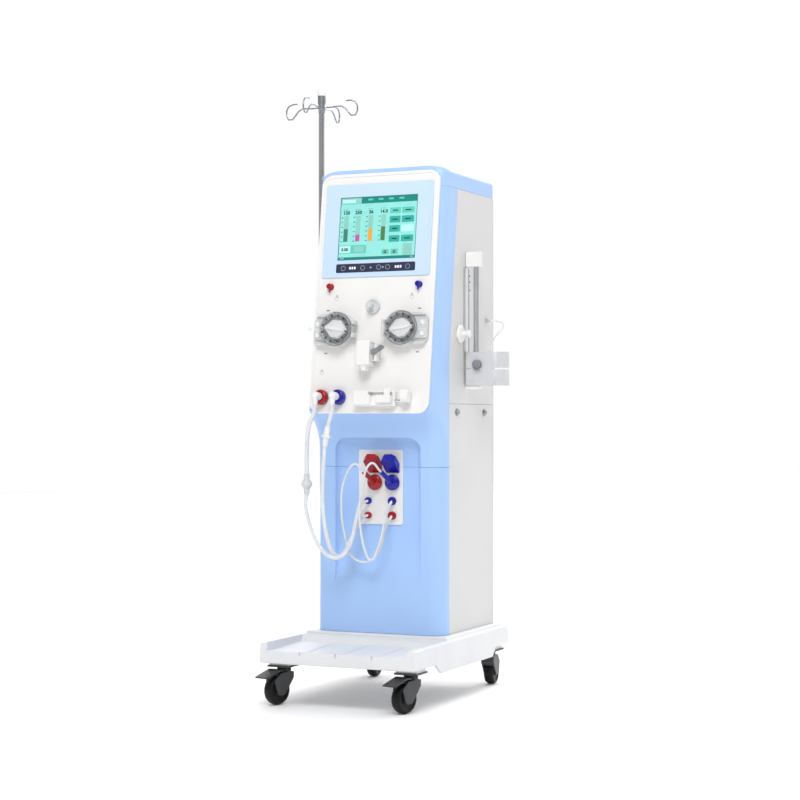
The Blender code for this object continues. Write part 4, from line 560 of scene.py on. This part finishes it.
def lay_boot(place, seat):
    """A soft tapered boot that keeps the lead from kinking at its socket; returns its name."""
    profile = [(2.7, GAP), (5.2, GAP), (5.2, 1.6), (3.4, 7), (2.7, 7)]
    boot = new_object(f"lead_boot_{place}", turned(profile, 28, True),
                      MACHINE @ Matrix.Translation(seat) @ Matrix.Rotation(radians(90), 4, "Y"))
    return dress(soften(boot, 0.25, 2), grey_nylon).name


def lay_hoses():
    """Supply and return hoses from the elbows, thin hoses of the wands, and the sensor lead."""
    down = Vector((0, -sin(LEAN), -cos(LEAN)))
    for name, x, seat, axis, row, above_joint, below_joint in (
            ("supply", -135, Vector((-156, -101, 559)), Vector((0, 0, 1)), 0,
             [(-150, -100, 711), (-155, -101, 668), (-156, -101, 625)],
             [(-160, -101, 508), (-156, -100, 480), (-147, -97, 448), (-136, -94, 418),
              (-121, -90, 392), (-102, -84, 373), (-80, -77, 367), (-61, -70, 379),
              (-45, -63, 412), (-39, -54, 452), (-38, -41, 482), (-41, -24, 502)]),
            ("return", -85, Vector((-100.5, -98, 683)), Vector((0.17, 0, 1)).normalized(), 1,
             [],
             [(-107, -97, 634), (-110, -96, 602), (-113, -94, 559), (-115, -91, 515),
              (-113, -87, 470), (-108, -80, 425), (-102, -75, 396), (-92, -68, 375),
              (-78, -60, 370), (-66, -52, 387), (-57, -41, 414), (-50, -29, 440),
              (-45, -19, 459)])):
        start = panel_point(x, 38, 17)
        above, below = joint_ends(seat, axis)
        near, end = port_run(0, row)
        lay_hose(f"{name}_hose", f"dialysate_hose_{name}", [
            [start + down * GAP], [start + down * HOSE_RADIUS * 3, *above_joint, above],
            [seat], [below, *below_joint, near], [end]],
            HOSE_RADIUS)

    for name, x, row, route in (
            ("red", WAND_X[0], 1,
             [(-43, -44, 611), (-59, -44, 600), (-75, -42, 571), (-84, -40, 540),
              (-87, -37, 505), (-87, -34, 469), (-80, -31, 427), (-71, -30, 388),
              (-55, -31, 366), (-31, -33, 356), (-8, -34, 358), (9, -34, 370),
              (21, -33, 388), (29, -30, 414), (30, -24, 436)]),
            ("blue", WAND_X[1], 0,
             [(13, -56, 614), (2, -63, 606), (-5, -68, 586), (-9, -70, 560),
              (-17, -70, 524), (-20, -68, 495), (-20, -65, 461), (-15, -63, 420),
              (-6, -60, 384), (8, -56, 363), (21, -51, 386), (30, -47, 413),
              (35, -42, 440), (35, -33, 468)])):
        tip = wand_tip(x)
        near, end = port_run(1, row)
        lay_hose(f"{name}_wand_hose", f"wand_hose_{name}", [
            [tip + ARM * GAP], [tip + ARM * THIN_HOSE_RADIUS * 3, *route, near], [end]],
            THIN_HOSE_RADIUS)

    out, socket = Vector((1, 0, 0)), BODY_WIDTH / 2 + 6
    start, end = Vector((socket, 303, 995)), Vector((socket, 272, 868))
    boots = [lay_boot("upper", start), lay_boot("lower", end)]
    lay_hose("side_sensor_lead", "sensor_lead", [
        [start + out * GAP],
        [start + out * LEAD_RADIUS * 3, (214, 311, 994), (228, 318, 987), (226, 317, 975),
         (212, 303, 953), (206, 288, 928), (205, 277, 900), (204, 272, 880),
         end + out * LEAD_RADIUS * 3],
        [end + out * GAP]], LEAD_RADIUS)


# ---- Cabinet

def head_front(height):
    """Depth of the head's blue front, a little behind the panel's own face."""
    return PANEL_FOOT.y + (height - PANEL_FOOT.z) * tan(LEAN) + HEAD_SETBACK / cos(LEAN)


def side_front(height):
    return SIDE_FRONT + max(0, height - SIDE_BEND) * tan(LEAN)


def cover_ring(height, front, rear, corner, back_corner=0, inset=0, segments=16):
    half = BODY_WIDTH / 2 - inset
    corners = [(-half, rear), (-half, front), (half, front), (half, rear)]
    outline = round_corners(corners, [back_corner, corner, corner, back_corner], segments)
    return [(x, y, height) for x, y in outline]


def niche():
    """An arched pocket with walls that curve into its floor, which runs out at its foot."""
    half, wall_slope, roof_slope, arch_radius = NICHE_WIDTH / 2, 22, 25, 34

    def arch(depth, share):
        side, top = wall_slope * share, NICHE_TOP - roof_slope * share
        foot = NICHE_FOOT - OVER
        corners = [(-half + side, foot), (half - side, foot), (half - side, top),
                   (-half + side, top)]
        outline = round_corners(corners, [0, 0, arch_radius, arch_radius], 12)
        return [(x, depth, z) for x, z in outline]

    turns = [pi / 2 * index / 8 for index in range(9)]
    pocket = new_object("pocket", loft([arch(-OVER, 0)] + [
        arch(NICHE_DEPTH * sin(turn), 1 - cos(turn)) for turn in turns]))
    side = [(-2 * OVER, NICHE_FOOT), (0, NICHE_FOOT), (NICHE_DEPTH, NICHE_BEND),
            (NICHE_DEPTH + OVER, NICHE_BEND + OVER), (NICHE_DEPTH + OVER, CAP_TOP),
            (-2 * OVER, CAP_TOP)]
    combine(pocket, prism(side, -half - OVER, half + OVER, SIDEWAYS), MACHINE, "INTERSECT")
    mesh = pocket.data
    bpy.data.objects.remove(pocket)
    return mesh


def make_covers():
    """Blue lower and upper covers, with the niche and the undercut below the head."""
    pocket = niche()
    rear = SIDE_FRONT - GAP
    rings = [cover_ring(z, 0, rear, COLUMN_CORNER) for z in (COLUMN_FOOT + GAP, COVER_SEAM - GAP)]
    lower = new_object("lower_cover", loft(rings))
    soften(lower, EDGE, 2, 60)
    cut(lower, pocket.copy(), IN_PLACE)
    dress(lower, blue_abs, "lower_front_cover", angle=28)

    brow = head_front(UNDERCUT_TOP)
    start, pull = Vector((0, UNDERCUT_FOOT)), Vector((0, (UNDERCUT_FOOT + UNDERCUT_TOP) / 2))
    end = Vector((brow, UNDERCUT_TOP))
    rows = [(COVER_SEAM + GAP, 0, COLUMN_CORNER)]
    for index in range(17):
        share = index / 16
        y, z = start.lerp(pull, share).lerp(pull.lerp(end, share), share)
        rows.append((z, y, COLUMN_CORNER + (HEAD_CORNER - COLUMN_CORNER) * share))
    rows.append((SIDE_BEND, head_front(SIDE_BEND), HEAD_CORNER))
    rows.append((CAP_SEAM - GAP, head_front(CAP_SEAM - GAP), HEAD_CORNER))
    rings = [cover_ring(z, y, side_front(z) - GAP, corner) for z, y, corner in rows]
    upper = new_object("upper_cover", loft(rings))
    soften(upper, EDGE, 2, 60)
    cut(upper, pocket, IN_PLACE)
    wall = 9
    low, high = UNDERCUT_TOP + wall, CAP_SEAM - wall
    half = BODY_WIDTH / 2 - HEAD_CORNER / 2
    side = [(head_front(low) + wall, low), (BODY_REAR, low), (BODY_REAR, high),
            (head_front(high) + wall, high)]
    cut(upper, prism(side, -half, half, SIDEWAYS))
    dress(upper, blue_abs, "upper_front_cover", angle=28)


def make_cap():
    """Blue cap with a low crown that turns over softly to the sides and the back."""
    roll_front, roll_side, roll_rear = 5, 30, 44

    def ring(height, share):
        front, rear = head_front(height) + roll_front * share, BODY_REAR - roll_rear * share
        return cover_ring(height, front, rear, HEAD_CORNER, 8, roll_side * share, 12)

    shoulder = CAP_TOP - CAP_CROWN
    rings = [ring(CAP_SEAM, 0)]
    for index in range(13):
        turn = pi / 2 * index / 12
        rings.append(ring(shoulder + CAP_CROWN * sin(turn), 1 - cos(turn)))
    dress(soften(new_object("cap", loft(rings)), EDGE, 2, 60), blue_abs, "top_cap", angle=40)


# ---- Front panel and display

def on_panel(x, height):
    return PANEL @ Matrix.Translation((x, 0, height))


marks = {}


def mark(material, outline, level):
    """Adds one flat printed or lit field to the panel, a hair thicker than ink."""
    marks.setdefault(material.name, []).append(plate(outline, level, level + INK))


def numerals(material, text, height, x, foot, level):
    """Adds plain numbers to the panel."""
    words = bpy.data.curves.new("numerals", "FONT")
    words.body, words.size, words.align_x = text, height / 0.7, "CENTER"
    words.extrude, words.offset = INK / 2, 0.45
    words.resolution_u = 2
    carrier = bpy.data.objects.new("numerals", words)
    mesh = bpy.data.meshes.new_from_object(carrier)
    bpy.data.objects.remove(carrier)
    mesh.transform(Matrix.Translation((x, -level - 0.08, foot)) @ OUTWARD)
    marks.setdefault(material.name, []).append(mesh)


def lay_marks(prefix):
    """Joins the fields of each finish into one piece."""
    for name, meshes in marks.items():
        bm = bmesh.new()
        for mesh in meshes:
            bm.from_mesh(mesh)
        joined = bpy.data.meshes.new(name)
        bm.to_mesh(joined)
        bm.free()
        piece = new_object(f"{prefix}_{name}", joined, PANEL)
        piece.data.materials.append(bpy.data.materials[name])
        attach(piece, "machine")
    marks.clear()


def make_front_panel():
    """White moulded panel with a raised rim, the display frame, keypad and display glass."""
    rim = 1.5
    panel = new_object("panel", plate(field(PANEL_WIDTH, PANEL_HEIGHT, PANEL_CORNER, segments=14),
                                      -6, rim), PANEL)
    soften(panel, 0.7, 3)
    inside = field(PANEL_WIDTH - 2 * PANEL_RIM, PANEL_HEIGHT - 2 * PANEL_RIM,
                   PANEL_CORNER - PANEL_RIM, foot=PANEL_RIM, segments=12)
    cut(panel, plate(inside, 0, rim + OVER), PANEL)
    dress(panel, white_abs, "front_panel")

    width, foot, height = BEZEL
    outline = field(width, height, 7, foot=foot)
    bezel = new_object("display_frame", plate(outline, GAP, BEZEL_FACE), PANEL)
    soften(bezel, EDGE, 3)
    wide, low, high = LCD
    window = field(wide + 2 * GAP, high + 2 * GAP, 1, foot=low - GAP)
    cut(bezel, plate(window, -OVER, BEZEL_FACE + OVER), PANEL)
    dress(bezel, bezel_film, "display_bezel")
    glass_outline = field(wide, high, 0.6, foot=low)
    wide, low, high = KEYS
    keys = new_object("keypad", plate(field(wide, high, 4, foot=low), 2, KEYS_FACE), PANEL)
    dress(soften(keys, 0.3, 2), navy_film)
    glass = new_object("display_glass", plate(glass_outline, GAP, LCD_FACE), PANEL)
    dress(soften(glass, 0.2, 1), lcd_mint, "display_screen")
    fill_display()
    fill_keypad()
    lay_marks("display")


def fill_display():
    """Lit fields of the display: bars, four gauges with numbers, tiles and a value box."""
    width, foot, height = LCD
    left, right, top = -width / 2, width / 2, foot + height
    layer, border = 0.14, 1.5

    def box(material, x, s, wide, high, radius=0.0, step=0):
        outline = field(wide, high, radius, x + wide / 2, s, 3)
        mark(material, outline, LCD_FACE + step * layer)

    for x, s, wide, high in ((left, foot, border, height), (right - border, foot, border, height),
                             (left, top - border, width, border), (left, foot, width, border)):
        box(lcd_moss, x, s, wide, high, 0, 3)
    box(lcd_deep, left, top - 18, width, 17)
    box(lcd_column, left + 2, top - 19, 59, 17, 2, 1)
    box(lcd_pale, left + 6, top - 15, 38, 9, 1, 2)
    box(lcd_deep, left, foot + 1, width, 7)
    box(lcd_mint, left + 6, foot + 3.5, 12, 2, 0, 1)
    box(lcd_mint, right - 14, foot + 3.5, 9, 2, 0, 1)
    for index in range(4):
        box(lcd_tile, left + 80 + 30 * index, top - 10.5, 14, 5, 1, 1)
    gauge_foot, gauge_high = foot + 50, 69
    gauges = ((-92.5, lcd_moss, 34, "120"), (-57.6, lcd_pink, 18, "250"),
              (-21.1, lcd_orange, 33, "36"), (15.8, lcd_green, 37, "14.0"))
    for x, material, filled, value in gauges:
        box(lcd_column, x - 6.5, gauge_foot, 13, gauge_high)
        box(material, x - 6, gauge_foot, 12, filled, 0, 1)
        numerals(lcd_dark, value, 9, x, gauge_foot + gauge_high + 4.5, LCD_FACE)
        box(lcd_tile, x - 9, gauge_foot + gauge_high + 16, 15, 2)
        for step in range(6):
            box(lcd_moss, x - 14, gauge_foot + step * gauge_high / 5.4, 5, 2.2)
    tiles = ((33.7, 527, 30.8, 15.4, lcd_tile), (68.6, 527, 34.8, 15.4, lcd_tile),
             (33.7, 502, 30.8, 17.5, lcd_teal), (68.6, 502, 34.8, 17.5, lcd_teal),
             (33.7, 477.4, 30.8, 17.2, lcd_teal), (68.6, 477.4, 34.8, 17.2, lcd_pale),
             (33.7, 450.7, 30.8, 17.2, lcd_teal), (68.6, 450.7, 34.8, 17.2, lcd_teal),
             (74.8, 414.5, 26.7, 30.5, lcd_column))
    for x, s, wide, high, material in tiles:
        box(material, x, s, wide, high, border)
        if material in (lcd_teal, lcd_tile):
            box(lcd_dark, x + wide * 0.26, s + high * 0.42, wide * 0.48, 2.6, 0, 1)
    box(lcd_tile, left + 1, foot + 18, 80, 22, border)
    box(lcd_pale, left + 3, foot + 20, 33, 18, 1, 1)
    numerals(lcd_dark, "0.00", 8, left + 19, foot + 25, LCD_FACE + 0.3)
    box(lcd_column, left + 45, foot + 21, 30, 15, 1, 1)
    for x in (25, 51):
        box(lcd_tile, x - 10, foot + 12, 21, 14, border)
        mark(lcd_dark, arc((x, foot + 19), 4, 0, 2 * pi, 16)[:-1], LCD_FACE + layer)
        mark(lcd_orange, arc((x, foot + 19), 1.8, 0, 2 * pi, 12)[:-1], LCD_FACE + 0.3)


def ring_mark(material, x, foot, radius, width, level):
    """A thin printed ring, as two half bands."""
    for start in (0, pi):
        outer = arc((x, foot), radius, start, start + pi, 12)
        inner = arc((x, foot), radius - width, start + pi, start, 12)
        mark(material, outer + inner, level)


def fill_keypad():
    """Round keys and plain symbols on the keypad."""
    middle = KEYS[1] + KEYS[2] / 2
    for x in (-93, -36, 10, 36, 93):
        ring_mark(pale_ink, x, middle, 6.5, 0.9, KEYS_FACE)
    for x in (-66, 66):
        for shift in (-7, 0, 7):
            mark(white_ink, field(5, 7, 1, x + shift, middle - 3.5, 3), KEYS_FACE)
    for x in (-12, 23):
        corners = [(x - 3, middle - 3), (x + 3, middle), (x - 3, middle + 3)]
        mark(pale_ink, corners, KEYS_FACE)


def print_panel_marks():
    """Small printed marks beside the pumps and ports."""
    for x, s in ((-131.8, 272), (131.8, 272), (-131.8, 158), (131.8, 158)):
        mark(dark_ink_and_groove_shade, field(9, 2.4, 0.8, x, s, 3), PRINTED)
    for x in (-108, 108):
        ring_mark(pale_ink, x, 305, 6, 1.2, PRINTED)
        mark(pale_ink, field(4, 9, 1.5, x, 306, 4), PRINTED)
    ring_mark(pale_ink, -140, 108, 5.5, 1.2, PRINTED)
    mark(pale_ink, field(3.5, 8, 1.2, -140, 109, 4), PRINTED)
    lay_marks("printed")


# ---- Blood pumps

def pump_outline(sign):
    """Round towards the middle of the machine, squared with soft corners on the outer side."""
    radius, shoulder, reach, corner = 46, 42, 68, 21
    start = asin(shoulder / radius)
    points = arc((0, 0), radius, start, 2 * pi - start, 40)
    points += arc((reach - corner, -shoulder + corner), corner, -pi / 2, 0, 8)
    points += arc((reach - corner, shoulder - corner), corner, 0, pi / 2, 8)
    points = [(sign * x, z) for x, z in points]
    return points if sign > 0 else list(reversed(points))


def make_pump(side, sign):
    """Peristaltic pump: grey base block, raised ring with the roller rotor, clear hinged door."""
    seat = on_panel(sign * PUMP_SPACING / 2, PUMP_MIDDLE)
    low, face, floor = 17, 24.3, 7.3
    tube_height, tube_half = 30, 4.5
    housing = new_object(f"{side}_pump_block", plate(pump_outline(sign), GAP, low), seat)
    soften(housing, 1.6, 3)
    join_soft(housing, rod(RING_RADIUS, (0, -low / 2, 0), (0, -face, 0), 64), seat, 1.2)
    cut(housing, rod(WELL_RADIUS, (0, -floor, 0), (0, -face - OVER, 0), 64), seat)
    start, end = sorted((0, sign * TAB_REACH))
    for z in (-tube_height, tube_height):
        cut(housing, block((start, -face - OVER, z - tube_half), (end, -low + 5, z + tube_half)),
            seat)
    x = -sign * HINGE_OFFSET
    outer, inner, root = 54.2, 45.2, 38
    ear = [(outer, 29), (inner, 29), (inner, 22), (root, 22), (root, 9), (outer, 9)]
    ear = [(-sign * offset, -depth) for offset, depth in ear]
    for level in (-16.5, 16.5):
        low_z, high_z = level - 5, level + 5
        join(housing, prism(ear, low_z, high_z), seat)
        join(housing, rod(4.2, (x, -HINGE_STANDOFF, low_z), (x, -HINGE_STANDOFF, high_z), 20),
             seat)
    dress(housing, grey_nylon, f"pump_housing_{side}", angle=40)
    make_rotor(side, sign, seat, floor)
    make_pump_door(side, sign, seat, face)
    make_tube_guides(side, sign, seat, low)


def make_rotor(side, sign, seat, floor):
    """Grey rotor with two rollers and two guide pins, and on it a white lozenge and bar grip."""
    place = seat @ OUT_OF_PANEL @ Matrix.Rotation(radians(9) * sign, 4, "Z")
    front, disc, arm, foot = 25, 29.5, 30.5, floor + 0.6
    profile = [(0, front), (26, front), (28.6, front - 0.8), (disc, front - 2.4),
               (disc, front - 7), (15, front - 7), (15, foot), (0, foot)]
    rotor = new_object(f"{side}_pump_rotor", turned(profile, 56), place)
    join(rotor, block((-arm, -7.5, foot), (arm, 7.5, 21)), place)
    body = f"pump_rotor_{side}"
    dress(rotor, grey_abs, body, angle=40)
    profile = [(0, 24.5), (2.5, 24.5), (2.5, 23), (6.5, 23), (6.5, floor + 1), (0, floor + 1)]
    for index, x in enumerate((-arm, arm)):
        roller = new_object(f"{side}_roller_{index}", turned(profile, 28),
                            place @ Matrix.Translation((x, 0, 0)))
        dress(soften(roller, 0.4, 2), zinc_steel, body=body)
        pin = new_object(f"{side}_guide_pin_{index}", rod(3, (0, x, foot), (0, x, 21), 20), place)
        dress(soften(pin, 0.5, 2), grey_abs, body=body)
    groove = turned([(24.5, front - 0.2), (24.5, front + 0.5),
                     (26.2, front + 0.5), (26.2, front - 0.2)], 56, True)
    dress(new_object(f"{side}_rotor_band", groove, place), grey_nylon, body=body)
    spread = [(-32, -4), (-9, -23), (9, -23), (32, -4), (32, 4), (9, 23), (-9, 23), (-32, 4)]
    lozenge = new_object(f"{side}_rotor_lozenge", prism(round_corners(spread, 1.6, 4),
                                                        front - 0.6, 29.5), place)
    dress(soften(lozenge, 1.2, 3), acetal, body=body)
    half, wide, narrow = 28, 5.5, 3
    bar = [(-half, -narrow), (0, -wide), (half, -narrow), (half, narrow), (0, wide),
           (-half, narrow)]
    grip = new_object(f"{side}_rotor_grip", prism(round_corners(bar, 2, 4), front + 1,
                                                  34.2), place)
    dress(soften(grip, 1.4, 3), acetal, body=body)


def make_pump_door(side, sign, seat, face):
    """Clear door: a shallow round cup over the rotor, on a hinge barrel, with a finger tab."""
    back, front = face + GAP, face + 11
    door = new_object(f"{side}_pump_door", rod(RING_RADIUS, (0, -back, 0), (0, -front, 0), 64),
                      seat)
    soften(door, 2, 4)
    cut(door, rod(RING_RADIUS - 2.2, (0, -back + OVER, 0), (0, -front + 1.8, 0), 64), seat)
    x, half = -sign * HINGE_OFFSET, 10.5
    low, high = sorted((x, -sign * 42.5))
    join(door, block((low, -HINGE_STANDOFF - 2.5, -half), (high, -HINGE_STANDOFF, half)), seat)
    join(door, rod(3.9, (x, -HINGE_STANDOFF, -half), (x, -HINGE_STANDOFF, half), 20), seat)
    low, high = sorted((sign * 42.5, sign * TAB_REACH))
    join_soft(door, block((low, -front + 0.4, -5), (high, -front + 3, 5)), seat, 0.9)
    dress(door, clear_pc, f"pump_door_{side}", angle=40)
    rim = turned([(RING_RADIUS - 2.4, back + 0.4), (RING_RADIUS + 0.6, back + 0.4),
                  (RING_RADIUS + 0.6, back + 2.0), (RING_RADIUS - 2.4, back + 2.0)], 64, True)
    band = new_object(f"{side}_door_rim", rim, seat @ OUT_OF_PANEL)
    dress(band, grey_abs, body=f"pump_door_{side}")
    lift = Vector((0, -front - 0.15, 0))
    for index in range(12):
        turn = 2 * pi * (index + 0.5) / 12
        out = Vector((cos(turn), 0, sin(turn)))
        rib = new_object(f"{side}_door_rib_{index}",
                         rod(2.4, out * 32 + lift, out * 38 + lift, 8), seat)
        dress(soften(rib, 0.5, 2), charcoal_nylon_and_seat_shade, body=f"pump_door_{side}")


def make_tube_guides(side, sign, seat, low):
    """White tube connectors that stand on the block's outer side."""
    for index, z in enumerate((-14, 14)):
        x = sign * 57
        guide = new_object(f"{side}_tube_guide_{index}", block((x - 5, -low - 5, z - 6),
                                                               (x + 5, -low + 1, z + 6)), seat)
        dress(soften(guide, 1.5, 3), acetal)


# ---- Ports, syringe pump and lids

def make_ports():
    """The chamber port: a broad ringed foot with a peg."""
    profile = [(0, 30), (7, 30), (8.3, 28.5), (8.3, 24), (5.5, 24), (5.5, 6), (13, 6), (15, 8),
               (18, 8), (19.5, 6.5), (20, 5), (20, GAP), (0, GAP)]
    place = on_panel(0, PORT_HEIGHT) @ OUT_OF_PANEL
    port = new_object("chamber_peg", turned(profile, 48), place)
    dress(soften(port, 0.5, 2), grey_nylon, "chamber_port")


def make_syringe_pump():
    """Heparin syringe pump: cradle, carriage with its latch, and pusher on a steel shaft."""
    left, step, right, foot, top = -31, 16.5, 83, 18, 57
    shaft_y, shaft_z, pusher_back, pusher_front = -11, 31, 103, 124

    def bar(radius, start, end):
        return rod(radius, (start, shaft_y, shaft_z), (end, shaft_y, shaft_z), 28)

    base = new_object("cradle", block((left, -17, foot), (right, -GAP, top)), PANEL)
    soften(base, 3, 4)
    join_soft(base, block((left + 1, -30, foot + 1), (step, -8, top - 1)), PANEL, 3, 4)
    cut(base, block((step - 5, -40, top - 13), (step + 58, -9, top - 4)), PANEL)
    cut(base, bar(5.3, left + 14, right + OVER), PANEL)
    dress(base, white_abs, "syringe_cradle", angle=30)

    clamp = new_object("carriage", block((38, -41, foot + 5), (79, -22.4, foot + 25)), PANEL)
    soften(clamp, 2.6, 4)
    join_soft(clamp, block((60, -38, foot + 9), (77, -33, top + 3)), PANEL, 1.5)
    dress(clamp, white_abs, "syringe_clamp", angle=30)

    outline = round_corners([(-34, 27), (-6, 27), (-6, 58), (-34, 58)], [10, 3, 3, 10], 8)
    head = new_object("pusher", prism(outline, pusher_back, pusher_front, SIDEWAYS), PANEL)
    dress(soften(head, 2.4, 4), white_abs, "syringe_pusher", angle=30)
    shaft = new_object("pusher_shaft", bar(4, 4, pusher_back + 1), PANEL)
    dress(soften(shaft, 0.6, 2), stainless, body="syringe_pusher")
    collar = new_object("pusher_collar", bar(4.9, pusher_back - 6, pusher_back + 1), PANEL)
    dress(soften(collar, 1, 2), acetal, body="syringe_pusher")


def make_lid(name, x, material):
    """A deep cup-shaped lid that leans out over its wand from the hinge at its top."""
    width, length, depth, corner, wall = 38, 52, 20, 9, 2.5
    half, inner = width / 2, width / 2 - wall
    place = (MACHINE @ Matrix.Translation((x, PLATE_FACE - 4, LID_HINGE))
             @ Matrix.Rotation(radians(50), 4, "X"))
    outline = round_corners([(-half, -3), (half, -3), (half, length - corner),
                             (half - corner, length), (-half + corner, length),
                             (-half, length - corner)], wall, 4)
    lid = new_object(f"{name}_lid", plate(outline, -depth, 0), place)
    cut(lid, block((x - width, PLATE_FACE - GAP, 540), (x + width, PLATE_FACE + 60, 700)))
    soften(lid, 1.6, 3)
    hollow = [(-inner, 4), (inner, 4), (inner, length - corner), (inner - corner, length - 3),
              (-inner + corner, length - 3), (-inner, length - corner)]
    cut(lid, plate(hollow, -depth - OVER, -3), place)
    dress(lid, material, f"lid_{name}", angle=35)


# ---- Pieces that keep the CAD model's form

def redress_cabinet():
    for hand in ("left", "right"):
        for level in ("lower", "upper"):
            redress(f"side_panel_{hand}_{level}", white_coat)
    redress("rear_panel", white_coat)
    redress("cabinet_frame", zinc_steel)

    def tray_seat_shade(at):
        """Painted shade: the caster seats under the tray's four corners take the dark charcoal
        finish for the shadow under the tray's lip.
        """
        corner = abs(at.x) > 130 and (at.y < -130 or at.y > 280)
        return 1 if at.z < 100.2 and corner else 0

    # The tray's caster seats are painted dark as shade under its lip.
    redress("base_tray", base_abs, charcoal_nylon_and_seat_shade, angle=30, choose=tray_seat_shade)


def redress_fittings():
    for name, material in (("red", red_pp), ("blue", blue_pp)):
        redress(f"pressure_port_{name}", material)
        redress(f"coupling_{name}", material)
        redress(f"elbow_{name}", acetal)
        redress(f"wand_{name}", material)
    redress("detector_body", white_abs)
    redress("detector_lever", grey_abs)

    def plate_finish(at):
        """Blue upper and red lower collars round the nozzles, which are acetal."""
        for row, z in enumerate(NOZZLE_Z):
            for x in NOZZLE_X:
                if (at.x - x) ** 2 + (at.z - z) ** 2 < 14 ** 2 and at.y < PLATE_FACE - 0.4:
                    return 2 - row if at.y > PLATE_FACE - 9 else 3
        return 0

    redress("connector_plate", white_abs, red_pp, blue_pp, acetal, choose=plate_finish)
    redress("hose_joint_supply", grey_nylon)
    redress("hose_joint_return", acetal)
    redress("line_hook", white_abs)
    redress("holder_knob", grey_abs)
    redress("dialyser_holder", holder_abs)
    redress("holder_rail", anodised, white_abs,
            choose=lambda at: 1 if at.z > RAIL_TOP or at.z < RAIL_FOOT - 2 else 0)


def redress_pole():
    hook_tops = 1601
    redress("pole_tube", stainless)
    redress("pole_sleeve", anodised)
    redress("pole_hooks", zinc_steel, white_abs, angle=60,
            choose=lambda at: 1 if at.z > hook_tops else 0)


def redress_casters():
    for corner in ("front_left", "front_right", "rear_left", "rear_right"):
        redress(f"caster_fork_{corner}", charcoal_nylon_and_seat_shade)
        redress(f"caster_wheel_{corner}", tread_rubber_and_hole_shade)
    for corner in ("front_left", "front_right"):
        redress(f"brake_pedal_{corner}", charcoal_nylon_and_seat_shade)


def add_screws():
    """Domed captive screws at the top of each lower side panel, with a cross slot."""
    profile = [(0, 7.5), (3.5, 7.3), (6.2, 5.8), (7.2, 4), (7.2, 1.6), (10, 1.6), (10.6, 0.9),
               (10.6, PRINTED), (0, PRINTED)]
    for index, (y, z) in enumerate(SCREW_PLACES):
        for hand, side in (("left", -1), ("right", 1)):
            place = (MACHINE @ Matrix.Translation((side * BODY_WIDTH / 2, y, z))
                     @ Matrix.Rotation(side * radians(90), 4, "Y"))
            screw = new_object(f"panel_screw_{hand}_{index}", turned(profile, 32), place)
            for wide, deep in ((5, 0.8), (0.8, 5)):
                cut(screw, block((-wide, -deep, 6), (wide, deep, 9)), place)
            dress(screw, zinc_steel)


def add_rail_details():
    """Aluminium backing strip behind the rail's rod; its two grooves and few holes are flat dark
    strips and discs that paint the shade inside them.
    """
    back = BODY_WIDTH / 2 + GAP
    face = back + 1.3
    raised = face + 0.15
    strip = new_object("rail_backing", block((back, 141, RAIL_FOOT), (face, 184, RAIL_TOP)))
    dress(soften(strip, 0.4, 2), anodised)
    # Painted shade: each groove is a flat strip of dark ink standing for the shadow in the slot.
    for name, rear, wide in (("front", 148, 3), ("rear", 175, 4)):
        groove = new_object(f"rail_groove_{name}", block((face, rear - wide, RAIL_FOOT + 4),
                                                         (raised, rear, RAIL_TOP - 1)))
        dress(soften(groove, 0.05, 1), dark_ink_and_groove_shade)
    hole_y = 179.5
    # Painted shade: each hole is a flat black disc standing for the shadow inside it.
    for index, z in enumerate((1108, 1092, 1070)):
        hole = new_object(f"rail_hole_{index}",
                          rod(2.6, (face, hole_y, z), (raised, hole_y, z), 16))
        dress(soften(hole, 0.05, 1), tread_rubber_and_hole_shade)


# ---- Studio

def set_studio():
    """White floor, a bright backdrop and soft light from above, the right and the front."""
    floor_radius, floor_drop = 14, 0.0005
    bm = bmesh.new()
    bmesh.ops.create_circle(bm, cap_ends=True, segments=96, radius=floor_radius)
    floor = new_object("studio_floor", mesh_of(bm), Matrix.Translation((0, 0, -floor_drop)))
    paper = finish("white_studio_floor", "#FDFDFD", "#FBFBFC", (0.8, 0.9), 4, 0.01, 400)
    floor.data.materials.append(paper)
    world = bpy.data.worlds.new("studio")
    world.use_nodes = True
    tree = world.node_tree
    tree.nodes.clear()
    # A white backdrop behind the machine, a bright ceiling, and a dimmer room in front of it
    toward = add(tree, "ShaderNodeSeparateXYZ",
                 {"Vector": add(tree, "ShaderNodeTexCoord").outputs["Generated"]})
    ramps = [add(tree, "ShaderNodeMapRange", {
        "Value": toward.outputs[axis], "From Min": low, "From Max": high, "To Min": dim,
        "To Max": bright}).outputs["Result"] for axis, low, high, dim, bright in (
            ("Y", -0.1, 0.6, 0.24, 1.0), ("Z", 0.1, 0.9, 0.0, 0.45))]
    level = add(tree, "ShaderNodeMath", dict(enumerate(ramps)), operation="ADD")
    sky = add(tree, "ShaderNodeBackground",
              {"Color": (1, 1, 1, 1), "Strength": level.outputs["Value"]})
    add(tree, "ShaderNodeOutputWorld", {"Surface": sky.outputs["Background"]})
    bpy.context.scene.world = world
    for name, place, aim, size, power in (("key", (1.0, -2.9, 3.9), (0, 0, 0.8), 2.2, 108),
                                          ("fill", (-3.0, -2.6, 1.8), (0, 0, 0.7), 3.0, 4),
                                          ("floor_wash", (0, 7.5, 5), (0, 8.5, 0), 8.0, 700)):
        light = bpy.data.lights.new(name, "AREA")
        light.shape, light.size, light.energy = "DISK", size, power
        lamp = link(name, light)
        lamp.matrix_world = Matrix.Translation(place) @ facing(Vector(aim) - Vector(place), "-Z")
    bpy.context.scene.view_settings.view_transform = "Standard"


set_camera()
redress_fittings()
lay_hoses()
redress_cabinet()
redress_pole()
redress_casters()
make_covers()
make_cap()
make_front_panel()
print_panel_marks()
for side, sign in (("left", -1), ("right", 1)):
    make_pump(side, sign)
make_ports()
make_syringe_pump()
make_lid("red", WAND_X[0], red_pp)
make_lid("blue", WAND_X[1], blue_pp)
add_screws()
add_rail_details()
set_studio()
